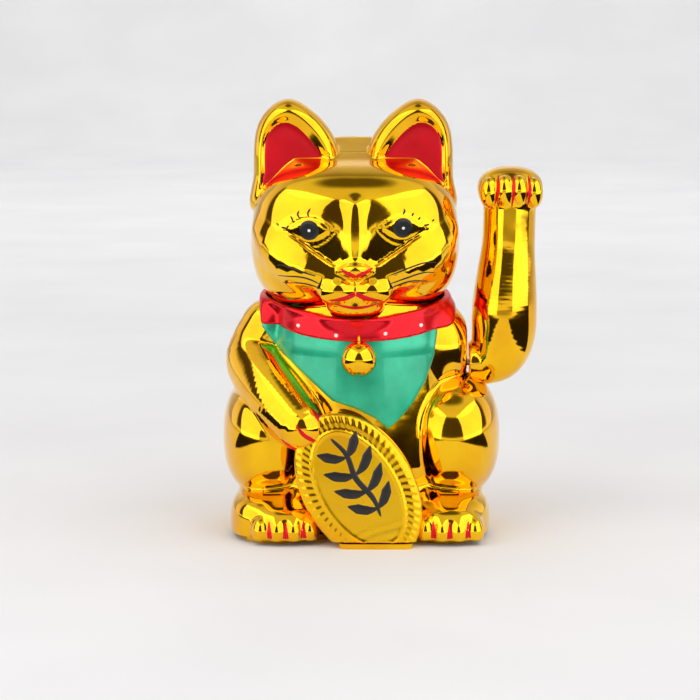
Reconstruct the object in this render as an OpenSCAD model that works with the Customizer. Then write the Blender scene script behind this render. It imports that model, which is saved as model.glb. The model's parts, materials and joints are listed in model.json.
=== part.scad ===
// Beckoning cat figurine: a plated two-part shell on a base plate, with a battery-driven pendulum
// that waves the raised arm. Millimetres. +Z is up, the cat faces -Y, its raised arm is on +X.
// The origin is on the shelf, under the middle of the body.

/* [Body] */
// Width across the haunches
body_w = 129; // [120:1:150]
// Depth of the seated body, from the belly to the back
body_d = 88; // [82:1:106]
// Height of the chin above the shelf
chin_z = 100; // [96:1:108]
// Height of the middle of the haunches
haunch_z = 39; // [36:1:42]
// Height of the feet
foot_h = 20; // [17:1:24]
// Width of one foot
foot_w = 42; // [35:1:46]
// Rounding of the body's lower edge
edge_r = 9; // [6:1:11]
// Distance of the flat shoulder face from the middle plane
shoulder_x = 50; // [48:0.5:56]
// Wall of the moulded shells
wall = 2; // [1.6:0.1:2.4]
// Plane where the front and rear shells meet
seam_y = -6; // [-8:0.5:-5.5]

/* [Head] */
// Width of the head
head_w = 94; // [84:1:104]
// Depth of the head
head_d = 76; // [66:1:84]
// Height of the head, without the ears
head_h = 84; // [76:1:90]
// Sideways lean of the head
head_x = -2.5; // [-4:0.5:4]
// Height of the ear tips above the crown
ear_h = 20; // [16:1:24]
// Distance between the ear tips
ear_span = 56; // [50:1:60]
// Thickness of an ear
ear_t = 15; // [12:1:18]

/* [Collar, bib and bell] */
// Height of the collar band
collar_w = 10.5; // [8:0.5:12]
// How far the collar stands out
collar_t = 1.6; // [1:0.2:2.4]
// How far the bib stands out
bib_t = 0.9; // [0.6:0.1:1.2]
// Diameter of the bell
bell_d = 16.2; // [14:0.2:18]

/* [Koban coin] */
// Length of the coin
koban_l = 74; // [68:1:80]
// Width of the coin
koban_w = 50; // [44:1:58]
// Thickness of the coin
koban_t = 12; // [9:1:16]
// Tilt of the coin in the cat's grip
koban_tilt = 32; // [24:1:38]
// Lean of the coin's face towards the belly
koban_lean = 5; // [3:1:8]

/* [Raised arm] */
// Height of the waving axis
pivot_z = 76.6; // [72:0.2:80]
// Width of the forearm
arm_w = 25; // [20:1:30]
// Depth of the forearm
arm_d = 23; // [18:1:26]
// Width of the paw
paw_w = 30; // [26:1:34]
// Height of the paw's top
arm_top_z = 168.5; // [150:0.5:180]
// Gap between the arm and the shoulder face
arm_gap = 0.8; // [0.6:0.1:1.5]

/* [Base] */
// Thickness of the base plate
base_t = 2.4; // [2:0.1:3]
// How far the base plate stands out under the shells
base_lip = 0.6; // [0.3:0.1:1]
// Gap between the base plate and the shells
base_gap = 0.3; // [0.2:0.1:0.5]

/* [Battery] */
// Diameter of the AA cell
cell_d = 14.2; // [13.5:0.1:14.5]
// Length of the AA cell, with its button
cell_l = 50.2; // [49.2:0.1:50.5]
// Wall of the battery box
box_wall = 1.4; // [1.2:0.1:2]
// Thickness of the battery door
door_t = 1.6; // [1.4:0.1:1.8]

/* [Pendulum drive] */
// Diameter of the pivot shaft
shaft_d = 3; // [2:0.1:4]
// Radial clearance of the shaft in its bearings
bearing_gap = 0.05; // [0.03:0.01:0.08]
// Thickness of the drive frame's uprights
upright_t = 2.5; // [2:0.1:3]
// Inner width between the uprights
drive_w = 21.5; // [19:0.5:23]
// Diameter of the counterweight
weight_d = 18; // [14:0.5:20]
// Length of the counterweight
weight_l = 15; // [10:0.5:17]
// Diameter of the drive magnet
magnet_d = 12; // [8:0.5:14]
// Thickness of the drive magnet
magnet_t = 4; // [3:0.5:5]
// Air gap between the magnet and the coil
air_gap = 1.5; // [1:0.1:2.5]
// Diameter of the coil's flanges
coil_d = 18; // [14:0.5:19]
// Height of the coil bobbin
coil_h = 4; // [3:0.5:5]
// Thickness of the circuit board
board_t = 1.6; // [1:0.2:2]

/* [Power switch] */
// Travel of the switch knob
knob_travel = 2; // [1.5:0.1:3]

/* [Fasteners] */
// Thread diameter of the base screws
base_screw_d = 2.9; // [2.5:0.1:3.5]
// Length of the base screws under the head
base_screw_l = 12; // [10:1:14]
// Thread diameter of the small screws
small_screw_d = 2; // [1.6:0.1:2.3]

/* [Hidden] */
$fn = 48;

fit = 0.3;           // clearance between pieces that are laid together
skin_sides = 48;     // facets round the body
big = 300;           // larger than the figurine

// ---------- the body's outline: ellipsoids blended by their reach along level rays ----------

head_c = [head_x, -6, chin_z + head_h / 2 - 6];
crown_z = head_c[2] + head_h / 2 + 1.5;
belly_y = -body_d / 2 + 4;
blend = 14;          // sharpness of the blend between ellipsoids
boxy = 2.6;          // squareness of the head's and haunches' profile

// Each entry is a centre, three radii and the squareness of the profile
blobs = [
    [head_c, [head_w / 2, head_d / 2, head_h / 2 + 1.5], boxy],
    [[0, -3, chin_z - 4], [41, 34, 16], 2],
    [[0, -5, chin_z - 24], [44, 32, 30], 2],
    [[0, 1, chin_z / 2 - 2], [46, body_d / 2 - 2, chin_z / 2 + 8], 2],
    [[shoulder_x - 17, 0, chin_z - 15], [18, 21, 18], 2],
    [[-43, 0, chin_z - 14], [12.5, 20, 16], 2],
    [[-49.5, -8, chin_z - 24], [12.5, 17, 17], 2],
    [[-38, -28, chin_z - 36], [13, 15, 11], 2],
    [[-25, -42, chin_z - 43], [11.5, 10.5, 10], 2],
    [[-body_w / 2 + 24, -3, haunch_z], [24, body_d / 2 - 7, 25], boxy],
    [[body_w / 2 - 24, -3, haunch_z], [24, body_d / 2 - 7, 25], boxy],
    [[-body_w / 2 + 5 + foot_w / 2, -body_d / 2 + 13, foot_h / 2], [foot_w / 2, 19, foot_h / 2 + 1], boxy],
    [[body_w / 2 - 5 - foot_w / 2, -body_d / 2 + 13, foot_h / 2], [foot_w / 2, 19, foot_h / 2 + 1], boxy],
    [[0, 2, 12], [body_w / 2 - 7, body_d / 2, 18], boxy],
    [[12, body_d / 2 - 2, 15], [12, 7, 8], 2]
];

function smooth(t) = let (u = min(1, max(0, t))) u * u * (3 - 2 * u);
function spine(z) = [head_x, -4] * smooth((z - chin_z + 20) / 30);

// How far an ellipsoid, grown by g, reaches from the spine at height z in direction a
function reach(b, z, a, o, g) =
    let (r = b[1] + [g, g, g], h = abs(z - b[0][2]) / r[2])
    h >= 1 ? 0 :
    let (k = pow(1 - pow(h, b[2]), 1 / b[2]),
        d = [cos(a) / r[0], sin(a) / r[1]] / k,
        p = [(o[0] - b[0][0]) / r[0], (o[1] - b[0][1]) / r[1]] / k,
        q = pow(d * p, 2) - (d * d) * (p * p - 1))
    q <= 0 ? 0 : max(0, (sqrt(q) - d * p) / (d * d));

// The lower edge's rounding, and the flat shoulder that the arm stands against
function edge_cut(z) = z >= edge_r ? 0 : edge_r * (1 - sqrt(1 - pow(1 - z / edge_r, 2)));
function shoulder_limit(z, a, o, g) =
    cos(a) < 0.05 ? big : (shoulder_x + g - o[0] + 30 * smooth((pivot_z - 7 - z) / 7)) / cos(a);

function skin_r(z, a, g) =
    let (o = spine(z),
        s = [for (b = blobs) pow(reach(b, z, a, o, g) / 50, blend)],
        r = 50 * pow(s * [for (b = blobs) 1], 1 / blend))
    min(r - edge_cut(z), shoulder_limit(z, a, o, g));

function skin_ring(z, g) =
    let (o = spine(z))
    [for (i = [0:skin_sides - 1]) let (a = 360 * i / skin_sides, r = skin_r(z, a, g))
        [o[0] + r * cos(a), o[1] + r * sin(a), z]];

function skin_heights(g, low) = concat(
    [low, low + 2, low + 5, 12, foot_h * 0.85, foot_h + 3, haunch_z - 8, haunch_z, haunch_z + 8,
        haunch_z + 16, haunch_z + 22, chin_z - 33, chin_z - 27, chin_z - 20, chin_z - 14, chin_z - 9,
        chin_z - 4, chin_z + 1, chin_z + 6, chin_z + 13, chin_z + 21, chin_z + 29],
    [for (p = [0:11:77]) head_c[2] + (head_h / 2 + 1.5 + g) * sin(p)]);

// A closed solid from a stack of rings, with its ends fanned from one point each
module ring_stack(rings, low_point, top_point) {
    n = len(rings[0]);
    m = len(rings);
    points = concat([low_point], [for (r = rings) each r], [top_point]);
    faces = concat(
        [for (i = [0:n - 1]) [0, 1 + i, 1 + (i + 1) % n]],
        [for (k = [0:m - 2]) for (i = [0:n - 1]) let (a = 1 + k * n + i, b = 1 + k * n + (i + 1) % n)
            each [[a, a + n, b], [b, a + n, b + n]]],
        [for (i = [0:n - 1]) [m * n + 1, 1 + (m - 1) * n + (i + 1) % n, 1 + (m - 1) * n + i]]);
    polyhedron(points, faces);
}

// The body and head without the ears, grown by g, down to the height low
module skin(g = 0, low = base_t + base_gap) {
    rings = [for (z = skin_heights(g, low)) skin_ring(z, g)];
    ring_stack(rings, [0, 0, low], [head_c[0], head_c[1], head_c[2] + head_h / 2 + 1.5 + g]);
}

// The plan of the body at height z, as a flat outline
module plan(z, g) {
    polygon([for (p = skin_ring(z, g)) [p[0], p[1]]]);
}

module ellipsoid(centre, radii) {
    translate(centre) scale(radii) sphere(1, $fn = 24);
}

// One ear, grown by g; side is -1 or 1
module ear(side, g = 0) {
    tip = [head_x + side * ear_span / 2, seam_y + 2, crown_z + ear_h - 12.5];
    hull() {
        ellipsoid(tip, [11.5 + g, ear_t / 2 + g, 11.5 + g]);
        ellipsoid([head_x + side * (head_w / 2 - 9.5), seam_y, crown_z - 18], [9.5 + g, ear_t / 2 + 2 + g, 9.5 + g]);
        ellipsoid([head_x + side * 13, seam_y, crown_z - 10], [6 + g, ear_t / 2 + g, 6 + g]);
    }
}

// The hollow in the front of an ear
module ear_pocket(side) {
    depth = ear_t / 2 - 3.5;
    front = seam_y - depth - 8;
    hull() {
        ellipsoid([head_x + side * (ear_span / 2 + 2), front, crown_z + ear_h - 17], [7, 8, 7]);
        ellipsoid([head_x + side * (head_w / 2 - 8.5), front, crown_z - 18], [4, 8, 4]);
        ellipsoid([head_x + side * 17, front, crown_z - 8], [3, 8, 3]);
    }
}

// ---------- fasteners' places, shared by the shells and the base plate ----------

screw_x = body_w / 2 - 26.5;
screw_places = [for (x = [-screw_x, screw_x]) for (y = [-body_d / 2 + 18, body_d / 2 - 28]) [x, y]];
pin_places = [[-body_w / 2 + 6, haunch_z], [body_w / 2 - 6, haunch_z],
    [head_x - head_w / 2 + 6, head_c[2]], [head_x + head_w / 2 - 6, head_c[2]]];
head_r = base_screw_d;              // radius of a base screw's head
post_r = head_r + 1.2;              // radius of the posts round them
head_t = 1.7;                       // height of a base screw's head
head_low = 0.5;                     // how deep the heads sit in the plate
boss_low = base_t + 2.8;            // where the shells' screw bosses start
boss_top = boss_low + base_screw_l; // where they end

// A screw boss with a rib that ties it to the wall nearest to it
module boss(place) {
    out = place[1] < 0 ? -1 : 1;
    translate([place[0], place[1], boss_low]) cylinder(r = base_screw_d / 2 + 2.2, h = boss_top - boss_low, $fn = 20);
    translate([place[0] - 0.9, out < 0 ? -big / 4 + place[1] : place[1], boss_low + 3])
        cube([1.8, big / 4, boss_top - boss_low - 3]);
}

module boss_hole(place) {
    translate([place[0], place[1], boss_low - 1])
        cylinder(r = base_screw_d / 2 + 0.1, h = base_screw_l - 1, $fn = 20);
}

// ---------- the two halves of the figure ----------

// The body makes room for the waving arm's hub and elbow, which are round about the shaft
module arm_room(g = 0) {
    arm_solid(arm_gap / 2 + g);
}

// Room in the shells for the base plate's screw posts and battery box
module base_room() {
    for (p = screw_places) translate([p[0], p[1], 0]) cylinder(r = post_r + base_gap, h = boss_low - 0.1);
    translate([box_c[0] - box_in / 2 - box_wall - 0.1, box_c[1] - box_l / 2 - box_wall - 0.1, 0])
        cube([box_in + 2 * box_wall + 0.2, box_l + 2 * box_wall + 0.2, box_top + box_wall + 0.1]);
}

module figure() {
    difference() {
        skin();
        arm_room();
    }
    for (side = [-1, 1]) difference() {
        ear(side);
        ear_pocket(side);
    }
}

module figure_cavity() {
    difference() {
        skin(-wall, base_t + base_gap - 0.02);
        arm_room(wall);
    }
    for (side = [-1, 1]) intersection() {
        ear(side, -wall);
        translate([-big / 2, seam_y, 0]) cube(big);
    }
}

// The half of the figure in front of the seam (side -1) or behind it (side 1)
module half_figure(side) {
    intersection() {
        translate([-big / 2, side < 0 ? seam_y - big : seam_y + 0.05, 0]) cube(big);
        difference() {
            figure();
            difference() {
                figure_cavity();
                for (p = screw_places) if (p[1] * side > 0) boss(p);
                for (p = pin_places) translate([p[0], seam_y, p[1]]) rotate([90, 0, 0])
                    cylinder(r = 3.4, h = big, center = true, $fn = 20);
            }
            for (p = screw_places) boss_hole(p);
            base_room();
            translate([shoulder_x - 8, 0, pivot_z]) rotate([0, 90, 0]) cylinder(r = shaft_d / 2 + 2, h = 16, $fn = 24);
        }
    }
}

// resize() changes nothing here; it hands each smooth shell over as a single mesh
module front_shell() {
    color("gold") resize([0, 0, 0]) difference() {
        half_figure(-1);
        for (p = pin_places) translate([p[0], seam_y - 5, p[1]]) rotate([-90, 0, 0]) cylinder(r = 1.6, h = 6, $fn = 16);
    }
}

module rear_shell() {
    color("gold") resize([0, 0, 0]) union() {
        half_figure(1);
        for (p = pin_places) translate([p[0], seam_y - 4, p[1]]) rotate([-90, 0, 0]) cylinder(r = 1.5, h = 6, $fn = 16);
    }
}

// ---------- collar, bib, bell and coin ----------

collar_tilt = 11;                                // the collar is lower in front
collar_c = [head_x / 2, -4, chin_z + 4];
layer_gap = 0.04;                                // between the pieces that are glued on

// The tilted slab that the collar fills, or with up above 0 all that lies over its lower edge
module collar_slab(up = 0) {
    translate(collar_c) rotate([collar_tilt, 0, 0]) translate([-big / 2, -big / 2, -collar_w / 2 - layer_gap])
        cube([big, big, collar_w + 2 * layer_gap + up]);
}

module collar() {
    color("crimson") resize([0, 0, 0]) difference() {
        intersection() {
            skin(collar_t);
            translate(collar_c) rotate([collar_tilt, 0, 0]) scale([head_w / 2 + 1, head_d / 2 + 5, collar_w])
                cylinder(r = 1, h = 1, center = true, $fn = 72);
        }
        skin();
    }
}

bib_top = chin_z + 8;
bib_outline = [[-46, bib_top], [-45, chin_z - 4], [-30, chin_z - 20], [-13, chin_z - 36], [0, chin_z - 40],
    [12.7, chin_z - 48], [22, chin_z - 42], [31, chin_z - 28], [35.5, chin_z - 12], [35.5, bib_top]];

module bib() {
    color("mediumaquamarine") resize([0, 0, 0]) difference() {
        intersection() {
            rotate([90, 0, 0]) linear_extrude(big / 2) polygon(bib_outline);
            skin(bib_t);
        }
        skin();
        collar_slab(big);
        koban_blank(fit);
    }
}

bell_c = [-0.5, belly_y - 4, chin_z - 15.5];

module bell() {
    color("gold") resize([0, 0, 0]) difference() {
        translate(bell_c) sphere(bell_d / 2, $fn = 32);
        skin(bib_t + layer_gap);
        intersection() {
            skin(collar_t + layer_gap);
            collar_slab();
        }
    }
}

koban_c = [-0.7, 27.2];                          // middle of the coin's face, in x and z
koban_h = norm([koban_l * cos(koban_tilt), koban_w * sin(koban_tilt)]) / 2;  // its half height as tilted
koban_foot_y = -body_d / 2 - 13;                 // the coin's face at the shelf

// The whole coin, grown by g
module koban_blank(g = 0) {
    translate([0, koban_foot_y, 0]) rotate([90 - koban_lean, 0, 0]) translate([0, 0, -koban_t])
        linear_extrude(koban_t + g) translate(koban_c) rotate(koban_tilt)
            scale([koban_w + 2 * g, koban_l + 2 * g]) circle(0.5, $fn = 60);
}

// The coin is cut to the belly behind it and stands on the toe of the base plate
module koban() {
    color("gold") resize([0, 0, 0]) difference() {
        koban_blank();
        skin();
        translate([-big / 2, -big / 2, base_t + base_gap - big]) cube(big);
    }
}

// ---------- base plate, battery box and door ----------

box_c = [-21, -1.25];                            // middle of the battery box
box_l = cell_l + 6.5;                            // inner length of the box
box_in = cell_d + 1.8;                           // inner width of the box
box_top = base_t + cell_d + 1.8;                 // inner height of the box
cell_z = base_t + 1 + cell_d / 2;
door_low = 0.3;                                  // how deep the door sits in the plate
door_w = box_in + 2.2;
door_l = box_l + 1.6;
lug_w = 4;
lug_x = [-door_w / 2 + 4, door_w / 2 - 4];
frame_z = base_t + 3.6;                          // underside of the drive frame
drive_x = 33.5 - upright_t - drive_w / 2;        // the pendulum's plane
post_y = 23.5;
switch_c = [0, body_d / 2 - 12];                 // middle of the power switch
switch_ear = 8.6;                                // from there to its screws
// The coin's cut at the shelf sets the plate's toe: its middle and its width
toe_x = koban_c[0] + (pow(koban_l, 2) - pow(koban_w, 2)) / 4 * sin(koban_tilt) * cos(koban_tilt)
    / pow(koban_h, 2) * koban_c[1];
toe_w = koban_l * koban_w / 2 / pow(koban_h, 2) * sqrt(pow(koban_h, 2) - pow(min(koban_c[1], koban_h - 3), 2))
    + 2 * base_lip;

module base_outline() {
    plan(base_t + base_gap, base_lip);
    offset(4, $fn = 32) offset(-4) translate([toe_x - toe_w / 2, koban_foot_y - base_lip]) square([toe_w, body_d / 2]);
}

module at_post() {
    for (s = [-1, 1]) translate([drive_x, s * post_y, 0]) children();
}

module base_plate() {
    color("gold") difference() {
        union() {
            linear_extrude(base_t) base_outline();
            translate([box_c[0] - box_in / 2 - box_wall, box_c[1] - box_l / 2 - box_wall, 0])
                cube([box_in + 2 * box_wall, box_l + 2 * box_wall, box_top + box_wall]);
            for (p = screw_places) translate(p) cylinder(r = post_r, h = boss_low - 0.1);
            at_post() cylinder(r = small_screw_d / 2 + 2.5, h = frame_z);
        }
        translate([box_c[0] - box_in / 2, box_c[1] - box_l / 2, base_t]) cube([box_in, box_l, box_top - base_t]);
        translate([box_c[0] - door_w / 2 - 0.2, box_c[1] - door_l / 2 - 0.2, -1]) cube([door_w + 0.4, door_l + 0.4, base_t + 1]);
        for (x = lug_x) translate([box_c[0] + x - lug_w / 2 - 0.3, box_c[1] + box_l / 2 - 1, base_t - 1])
            cube([lug_w + 0.6, box_wall + 2, 4]);
        for (s = [-1, 1]) translate([box_c[0] + 4, box_c[1] + s * (box_l / 2 + box_wall / 2), cell_z])
            cube([3, box_wall + 1, 3], center = true);
        for (p = screw_places) translate(p) {
            translate([0, 0, -1]) cylinder(r = head_r + 0.3, h = head_t + head_low + 1);
            cylinder(r = base_screw_d / 2 + 0.2, h = boss_low);
        }
        at_post() translate([0, 0, base_t]) cylinder(r = small_screw_d / 2 + 0.05, h = frame_z);
        translate(switch_c) {
            translate([-6, -4, -1]) cube([12, 8, 1.9]);
            translate([-knob_travel / 2 - 2.3, -1.6, -1]) cube([knob_travel + 4.6, 3.2, base_t + 2]);
            for (s = [-1, 1]) translate([s * switch_ear, 0, 0.6]) cylinder(r = small_screw_d / 2 + 0.05, h = base_t);
        }
    }
}

module battery_door() {
    door_y = box_c[1] + door_l / 2;
    color("gold") difference() {
        union() {
            translate([box_c[0] - door_w / 2, box_c[1] - door_l / 2, door_low]) cube([door_w, door_l, door_t]);
            for (x = lug_x) translate([box_c[0] + x - lug_w / 2, door_y - 3, door_low]) cube([lug_w, 2, base_t + 1.4]);
            for (x = lug_x) translate([box_c[0] + x - lug_w / 2, door_y - 3, base_t + 0.5]) cube([lug_w, 4.2, 1.2]);
        }
        translate([box_c[0], box_c[1] - door_l / 2 + 4, door_low]) scale([1, 0.5, 1]) cylinder(r = 5, h = 1.4, center = true);
        for (s = [-1, 1]) translate([box_c[0] + s * 6.5, box_c[1] - door_l / 2 + 3.5, 0]) cube([0.8, 8, 8], center = true);
    }
}

// ---------- battery and contacts ----------

cell_y = box_c[1] - box_l / 2 + 1.6;             // the button end of the cell

module along_y(y) {
    translate([box_c[0], y, cell_z]) rotate([-90, 0, 0]) children();
}

module aa_cell() {
    color("dimgray") along_y(cell_y) {
        cylinder(r = 2.7, h = 2);
        translate([0, 0, 1]) cylinder(r = cell_d / 2, h = cell_l - 1);
    }
}

module positive_contact() {
    color("silver") {
        translate([box_c[0] - 5.5, box_c[1] - box_l / 2 + 0.2, cell_z - 4.5]) cube([11, 0.5, 10]);
        translate([box_c[0] + 3, box_c[1] - box_l / 2 - box_wall - 2, cell_z - 1]) cube([2, box_wall + 2.4, 0.5]);
    }
}

spring_turns = 3.5;
spring_wire = 0.45;
spring_steps = 16;

// A round-wire tube along points p, with eight sides
module tube(p, r) {
    n = 8;
    last = len(p) - 1;
    rings = [for (k = [0:last]) let (
            d = p[min(last, k + 1)] - p[max(0, k - 1)],
            t = d / norm(d),
            u0 = cross(t, abs(t[2]) < 0.8 ? [0, 0, 1] : [1, 0, 0]),
            u = u0 / norm(u0), v = cross(t, u))
        [for (i = [0:n - 1]) p[k] + r * (cos(360 * i / n) * u + sin(360 * i / n) * v)]];
    ring_stack(rings, p[0], p[last]);
}

module negative_spring() {
    y0 = cell_y + cell_l + 0.1;
    y1 = box_c[1] + box_l / 2 - 0.5;
    steps = spring_turns * spring_steps;
    color("silver") resize([0, 0, 0]) union() {
        tube([for (k = [0:steps]) let (t = k / steps, a = 360 * k / spring_steps, r = 2.6 + 2.8 * t)
            [box_c[0] + r * cos(a), y0 + spring_wire + (y1 - y0 - 0.6) * t, cell_z + r * sin(a)]], spring_wire);
        translate([box_c[0] - 6.5, y1 - 0.3, cell_z - 4]) cube([13, 0.5, 11]);
        translate([box_c[0] + 3, y1 - 0.2, cell_z - 1]) cube([2, box_wall + 2.6, 0.5]);
    }
}

// ---------- power switch ----------

module switch_body() {
    color("silver") difference() {
        union() {
            translate([switch_c[0] - 6, switch_c[1] - 3.5, base_t + 0.1]) cube([12, 7, 5]);
            translate([switch_c[0] - 11, switch_c[1] - 3, base_t + 0.1]) cube([22, 6, 0.8]);
            for (x = [-3.5, 0, 3.5]) translate([switch_c[0] + x - 0.6, switch_c[1] - 0.3, base_t + 4]) cube([1.2, 0.6, 4]);
        }
        translate([switch_c[0] - knob_travel / 2 - 2.2, switch_c[1] - 1.5, 0]) cube([knob_travel + 4.4, 3, base_t + 2.6]);
        for (s = [-1, 1]) translate([switch_c[0] + s * switch_ear, switch_c[1], 0])
            cylinder(r = small_screw_d / 2 + 0.15, h = 9);
    }
}

module switch_knob() {
    x0 = switch_c[0] - knob_travel / 2 - 2;
    color("black") {
        translate([x0, switch_c[1] - 1.3, 0.5]) cube([4, 2.6, base_t + 1.8]);
        for (k = [0:2]) translate([x0 + 0.7 + k, switch_c[1] - 1.3, 0.3]) cube([0.5, 2.6, 0.5]);
    }
}

// ---------- drive frame, board and coil ----------

foot_y = post_y + 3.5;                           // half length of the frame's foot

module upright() {
    rotate([90, 0, 90]) linear_extrude(upright_t) difference() {
        union() {
            polygon([[-16, frame_z], [16, frame_z], [6.5, pivot_z], [-6.5, pivot_z]]);
            translate([0, pivot_z]) circle(8);
        }
        translate([0, pivot_z]) circle(shaft_d / 2 + bearing_gap);
        polygon([[-9, frame_z + 12], [9, frame_z + 12], [4, pivot_z - 22], [-4, pivot_z - 22]]);
    }
}

board_z = frame_z + 2.4;
board_l = 38;
pegs = [[drive_x - drive_w / 2 + 3, -board_l / 2 + 3], [drive_x + drive_w / 2 - 3, board_l / 2 - 3]];

module drive_frame() {
    color("ivory") difference() {
        union() {
            translate([drive_x - drive_w / 2 - upright_t, -foot_y, frame_z])
                cube([drive_w + 2 * upright_t, 2 * foot_y, board_z - frame_z]);
            translate([drive_x - drive_w / 2 - upright_t, 0, 0]) upright();
            translate([drive_x + drive_w / 2, 0, 0]) upright();
            translate([drive_x - drive_w / 2 - 1, -3, pivot_z + 5]) cube([drive_w + 2, 6, 2.6]);
            for (p = pegs) translate([p[0], p[1], frame_z]) cylinder(r = 1, h = board_z - frame_z + board_t + 0.8);
        }
        at_post() cylinder(r = small_screw_d / 2 + 0.2, h = board_z + 1);
    }
}

module circuit_board() {
    color("darkgreen") translate([0, 0, board_z]) linear_extrude(board_t) difference() {
        translate([drive_x - drive_w / 2 + 0.5, -board_l / 2]) square([drive_w - 1, board_l]);
        for (p = pegs) translate(p) circle(1.1);
    }
}

coil_z = board_z + board_t;
magnet_z = coil_z + coil_h + air_gap;            // underside of the magnet
core_r = coil_d / 4;
flange_t = 0.8;

module coil_bobbin() {
    color("white") translate([drive_x, 0, coil_z]) difference() {
        union() {
            cylinder(r = core_r, h = coil_h);
            for (z = [0, coil_h - flange_t]) translate([0, 0, z]) cylinder(r = coil_d / 2, h = flange_t);
        }
        translate([0, 0, -1]) cylinder(r = core_r - 1.2, h = coil_h + 2);
    }
}

module coil_winding() {
    color("sienna") translate([drive_x, 0, coil_z + flange_t + 0.02]) difference() {
        cylinder(r = coil_d / 2 - 0.7, h = coil_h - 2 * flange_t - 0.04);
        translate([0, 0, -1]) cylinder(r = core_r + 0.02, h = coil_h + 2);
    }
}

module driver_chip() {
    color("black") translate([drive_x + 2, -13.7, coil_z]) intersection() {
        translate([0, 0, -5.5]) sphere(7);
        translate([-8, -8, 0]) cube([16, 16, 3]);
    }
}

module capacitor() {
    color("navy") translate([drive_x + 7, 11.5, coil_z]) {
        cylinder(r = 2, h = 4.4);
        translate([0, 0, 4.2]) cylinder(r = 1.5, h = 0.4);
    }
}

module transistor() {
    color("black") translate([drive_x + 1, 14.5, coil_z]) difference() {
        cylinder(r = 2.2, h = 4);
        translate([-4, 1.2, -1]) cube([8, 4, 6]);
    }
}

// ---------- leads inside the base: their routes, chosen by hand ----------

lead_r = 0.6;
red_route_in = [[-17, -32.2, 10.7], [-14, -33, 10.2], [-10.2, -32, 7.5], [-8, -28, 4.6], [-8, -20, 3.8],
    [-8, 6, 3.8], [-8, 13, 5.2], [-7.3, 19, 7.2], [-6, 25, 8.8], [-3.5, 31, 9.8]];
red_route_out = [[0, 31, 9.8], [1.5, 26, 8.5], [3.5, 21, 6.4], [5.5, 18.8, 10.8], [9.5, 18.4, 11.8], [12.5, 17.6, 10.8]];
black_route = [[-17, 29.7, 10.7], [-13.5, 30.4, 10], [-10.2, 29.4, 6.8], [-9.8, 25, 4.2], [-7, 20.5, 3.7], [-2, 18, 3.7],
    [3.5, 16.8, 6.6], [5.6, 16.6, 12], [9.5, 16.2, 12.8], [12.5, 14.8, 12.4], [15, 14.3, 10.8]];

// A smooth curve through the points of a route
function bend(a, b, c, d, t) = 0.5 * (2 * b + (c - a) * t + (2 * a - 5 * b + 4 * c - d) * t * t
    + (3 * b - a - 3 * c + d) * t * t * t);
function curve(p, steps) = let (last = len(p) - 1) concat(
    [for (i = [0:last - 1]) for (k = [0:steps - 1])
        bend(p[max(0, i - 1)], p[i], p[i + 1], p[min(last, i + 2)], k / steps)], [p[last]]);

module red_leads() {
    color("red") {
        tube(curve(red_route_in, 4), lead_r);
        tube(curve(red_route_out, 4), lead_r);
    }
}

module black_lead() {
    color("black") tube(curve(black_route, 4), lead_r);
}

// ---------- screws ----------

module screw(d, l, cap_t) {
    cylinder(r = d / 2 - 0.05, h = l);
    translate([0, 0, l]) difference() {
        cylinder(r = d, h = cap_t);
        for (a = [0, 90]) rotate(a) translate([-d * 0.6, -d * 0.12, cap_t - 0.6]) cube([d * 1.2, d * 0.24, 1]);
    }
}

module base_screws() {
    color("silver") for (p = screw_places) translate([p[0], p[1], head_low + head_t + base_screw_l - 3])
        rotate([180, 0, 0]) screw(base_screw_d, base_screw_l - 3, head_t);
}

module small_screws() {
    color("silver") {
        at_post() translate([0, 0, board_z - 5]) screw(small_screw_d, 5, 1.2);
        for (s = [-1, 1]) translate([switch_c[0] + s * switch_ear, switch_c[1], base_t + 0.9 - 2.2])
            screw(small_screw_d, 2.2, 1.2);
    }
}

// ---------- the raised arm ----------

arm_x = shoulder_x + arm_gap;                    // the arm's inner end
arm_c = arm_x + 19;                              // middle of the forearm
arm_r = arm_w / 2;
wrist_z = arm_top_z - 21;
rise = wrist_z - pivot_z - 20;

// A station round the bend: it starts on the arm's inner edge and reaches across in direction a
function bent(x, z, r, d, a) = [arm_x + x + r * sin(a), pivot_z + z - r * cos(a), r, d, a];

// Each station: x, z, half width, half depth and the direction the arm runs in
arm_stations = [
    [arm_x, pivot_z, 10, 10, 0],
    bent(1.1, 10.4, 11, 10.4, 20),
    bent(1.5, 11.6, 14.3, 11.2, 45),
    bent(1.6, 14.4, arm_r + 2.7, arm_d / 2 + 0.3, 68),
    bent(1.6, 19, arm_r + 2.9, arm_d / 2 + 0.6, 82),
    [arm_c - 2.1, pivot_z + 20 + rise * 0.18, arm_r + 2.8, arm_d / 2 + 0.6, 87],
    [arm_c - 1.2, pivot_z + 20 + rise * 0.42, arm_r + 1.5, arm_d / 2 + 0.3, 88],
    [arm_c - 0.4, pivot_z + 20 + rise * 0.68, arm_r + 0.2, arm_d / 2, 89],
    [arm_c, pivot_z + 20 + rise * 0.86, arm_r - 0.2, arm_d / 2, 90],
    [arm_c, wrist_z, arm_r + 0.1, arm_d / 2, 90],
    [arm_c, wrist_z + 4, paw_w / 2 - 0.6, arm_d / 2 + 1.5, 90],
    [arm_c, wrist_z + 9, paw_w / 2, arm_d / 2 + 2.2, 90],
    [arm_c, wrist_z + 14, paw_w / 2 - 1, arm_d / 2 + 1.4, 90],
    [arm_c, wrist_z + 18, paw_w / 2 - 4.5, arm_d / 2 - 2, 90],
    [arm_c, wrist_z + 20.3, paw_w / 2 - 10, arm_d / 2 - 7, 90]];

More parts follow.
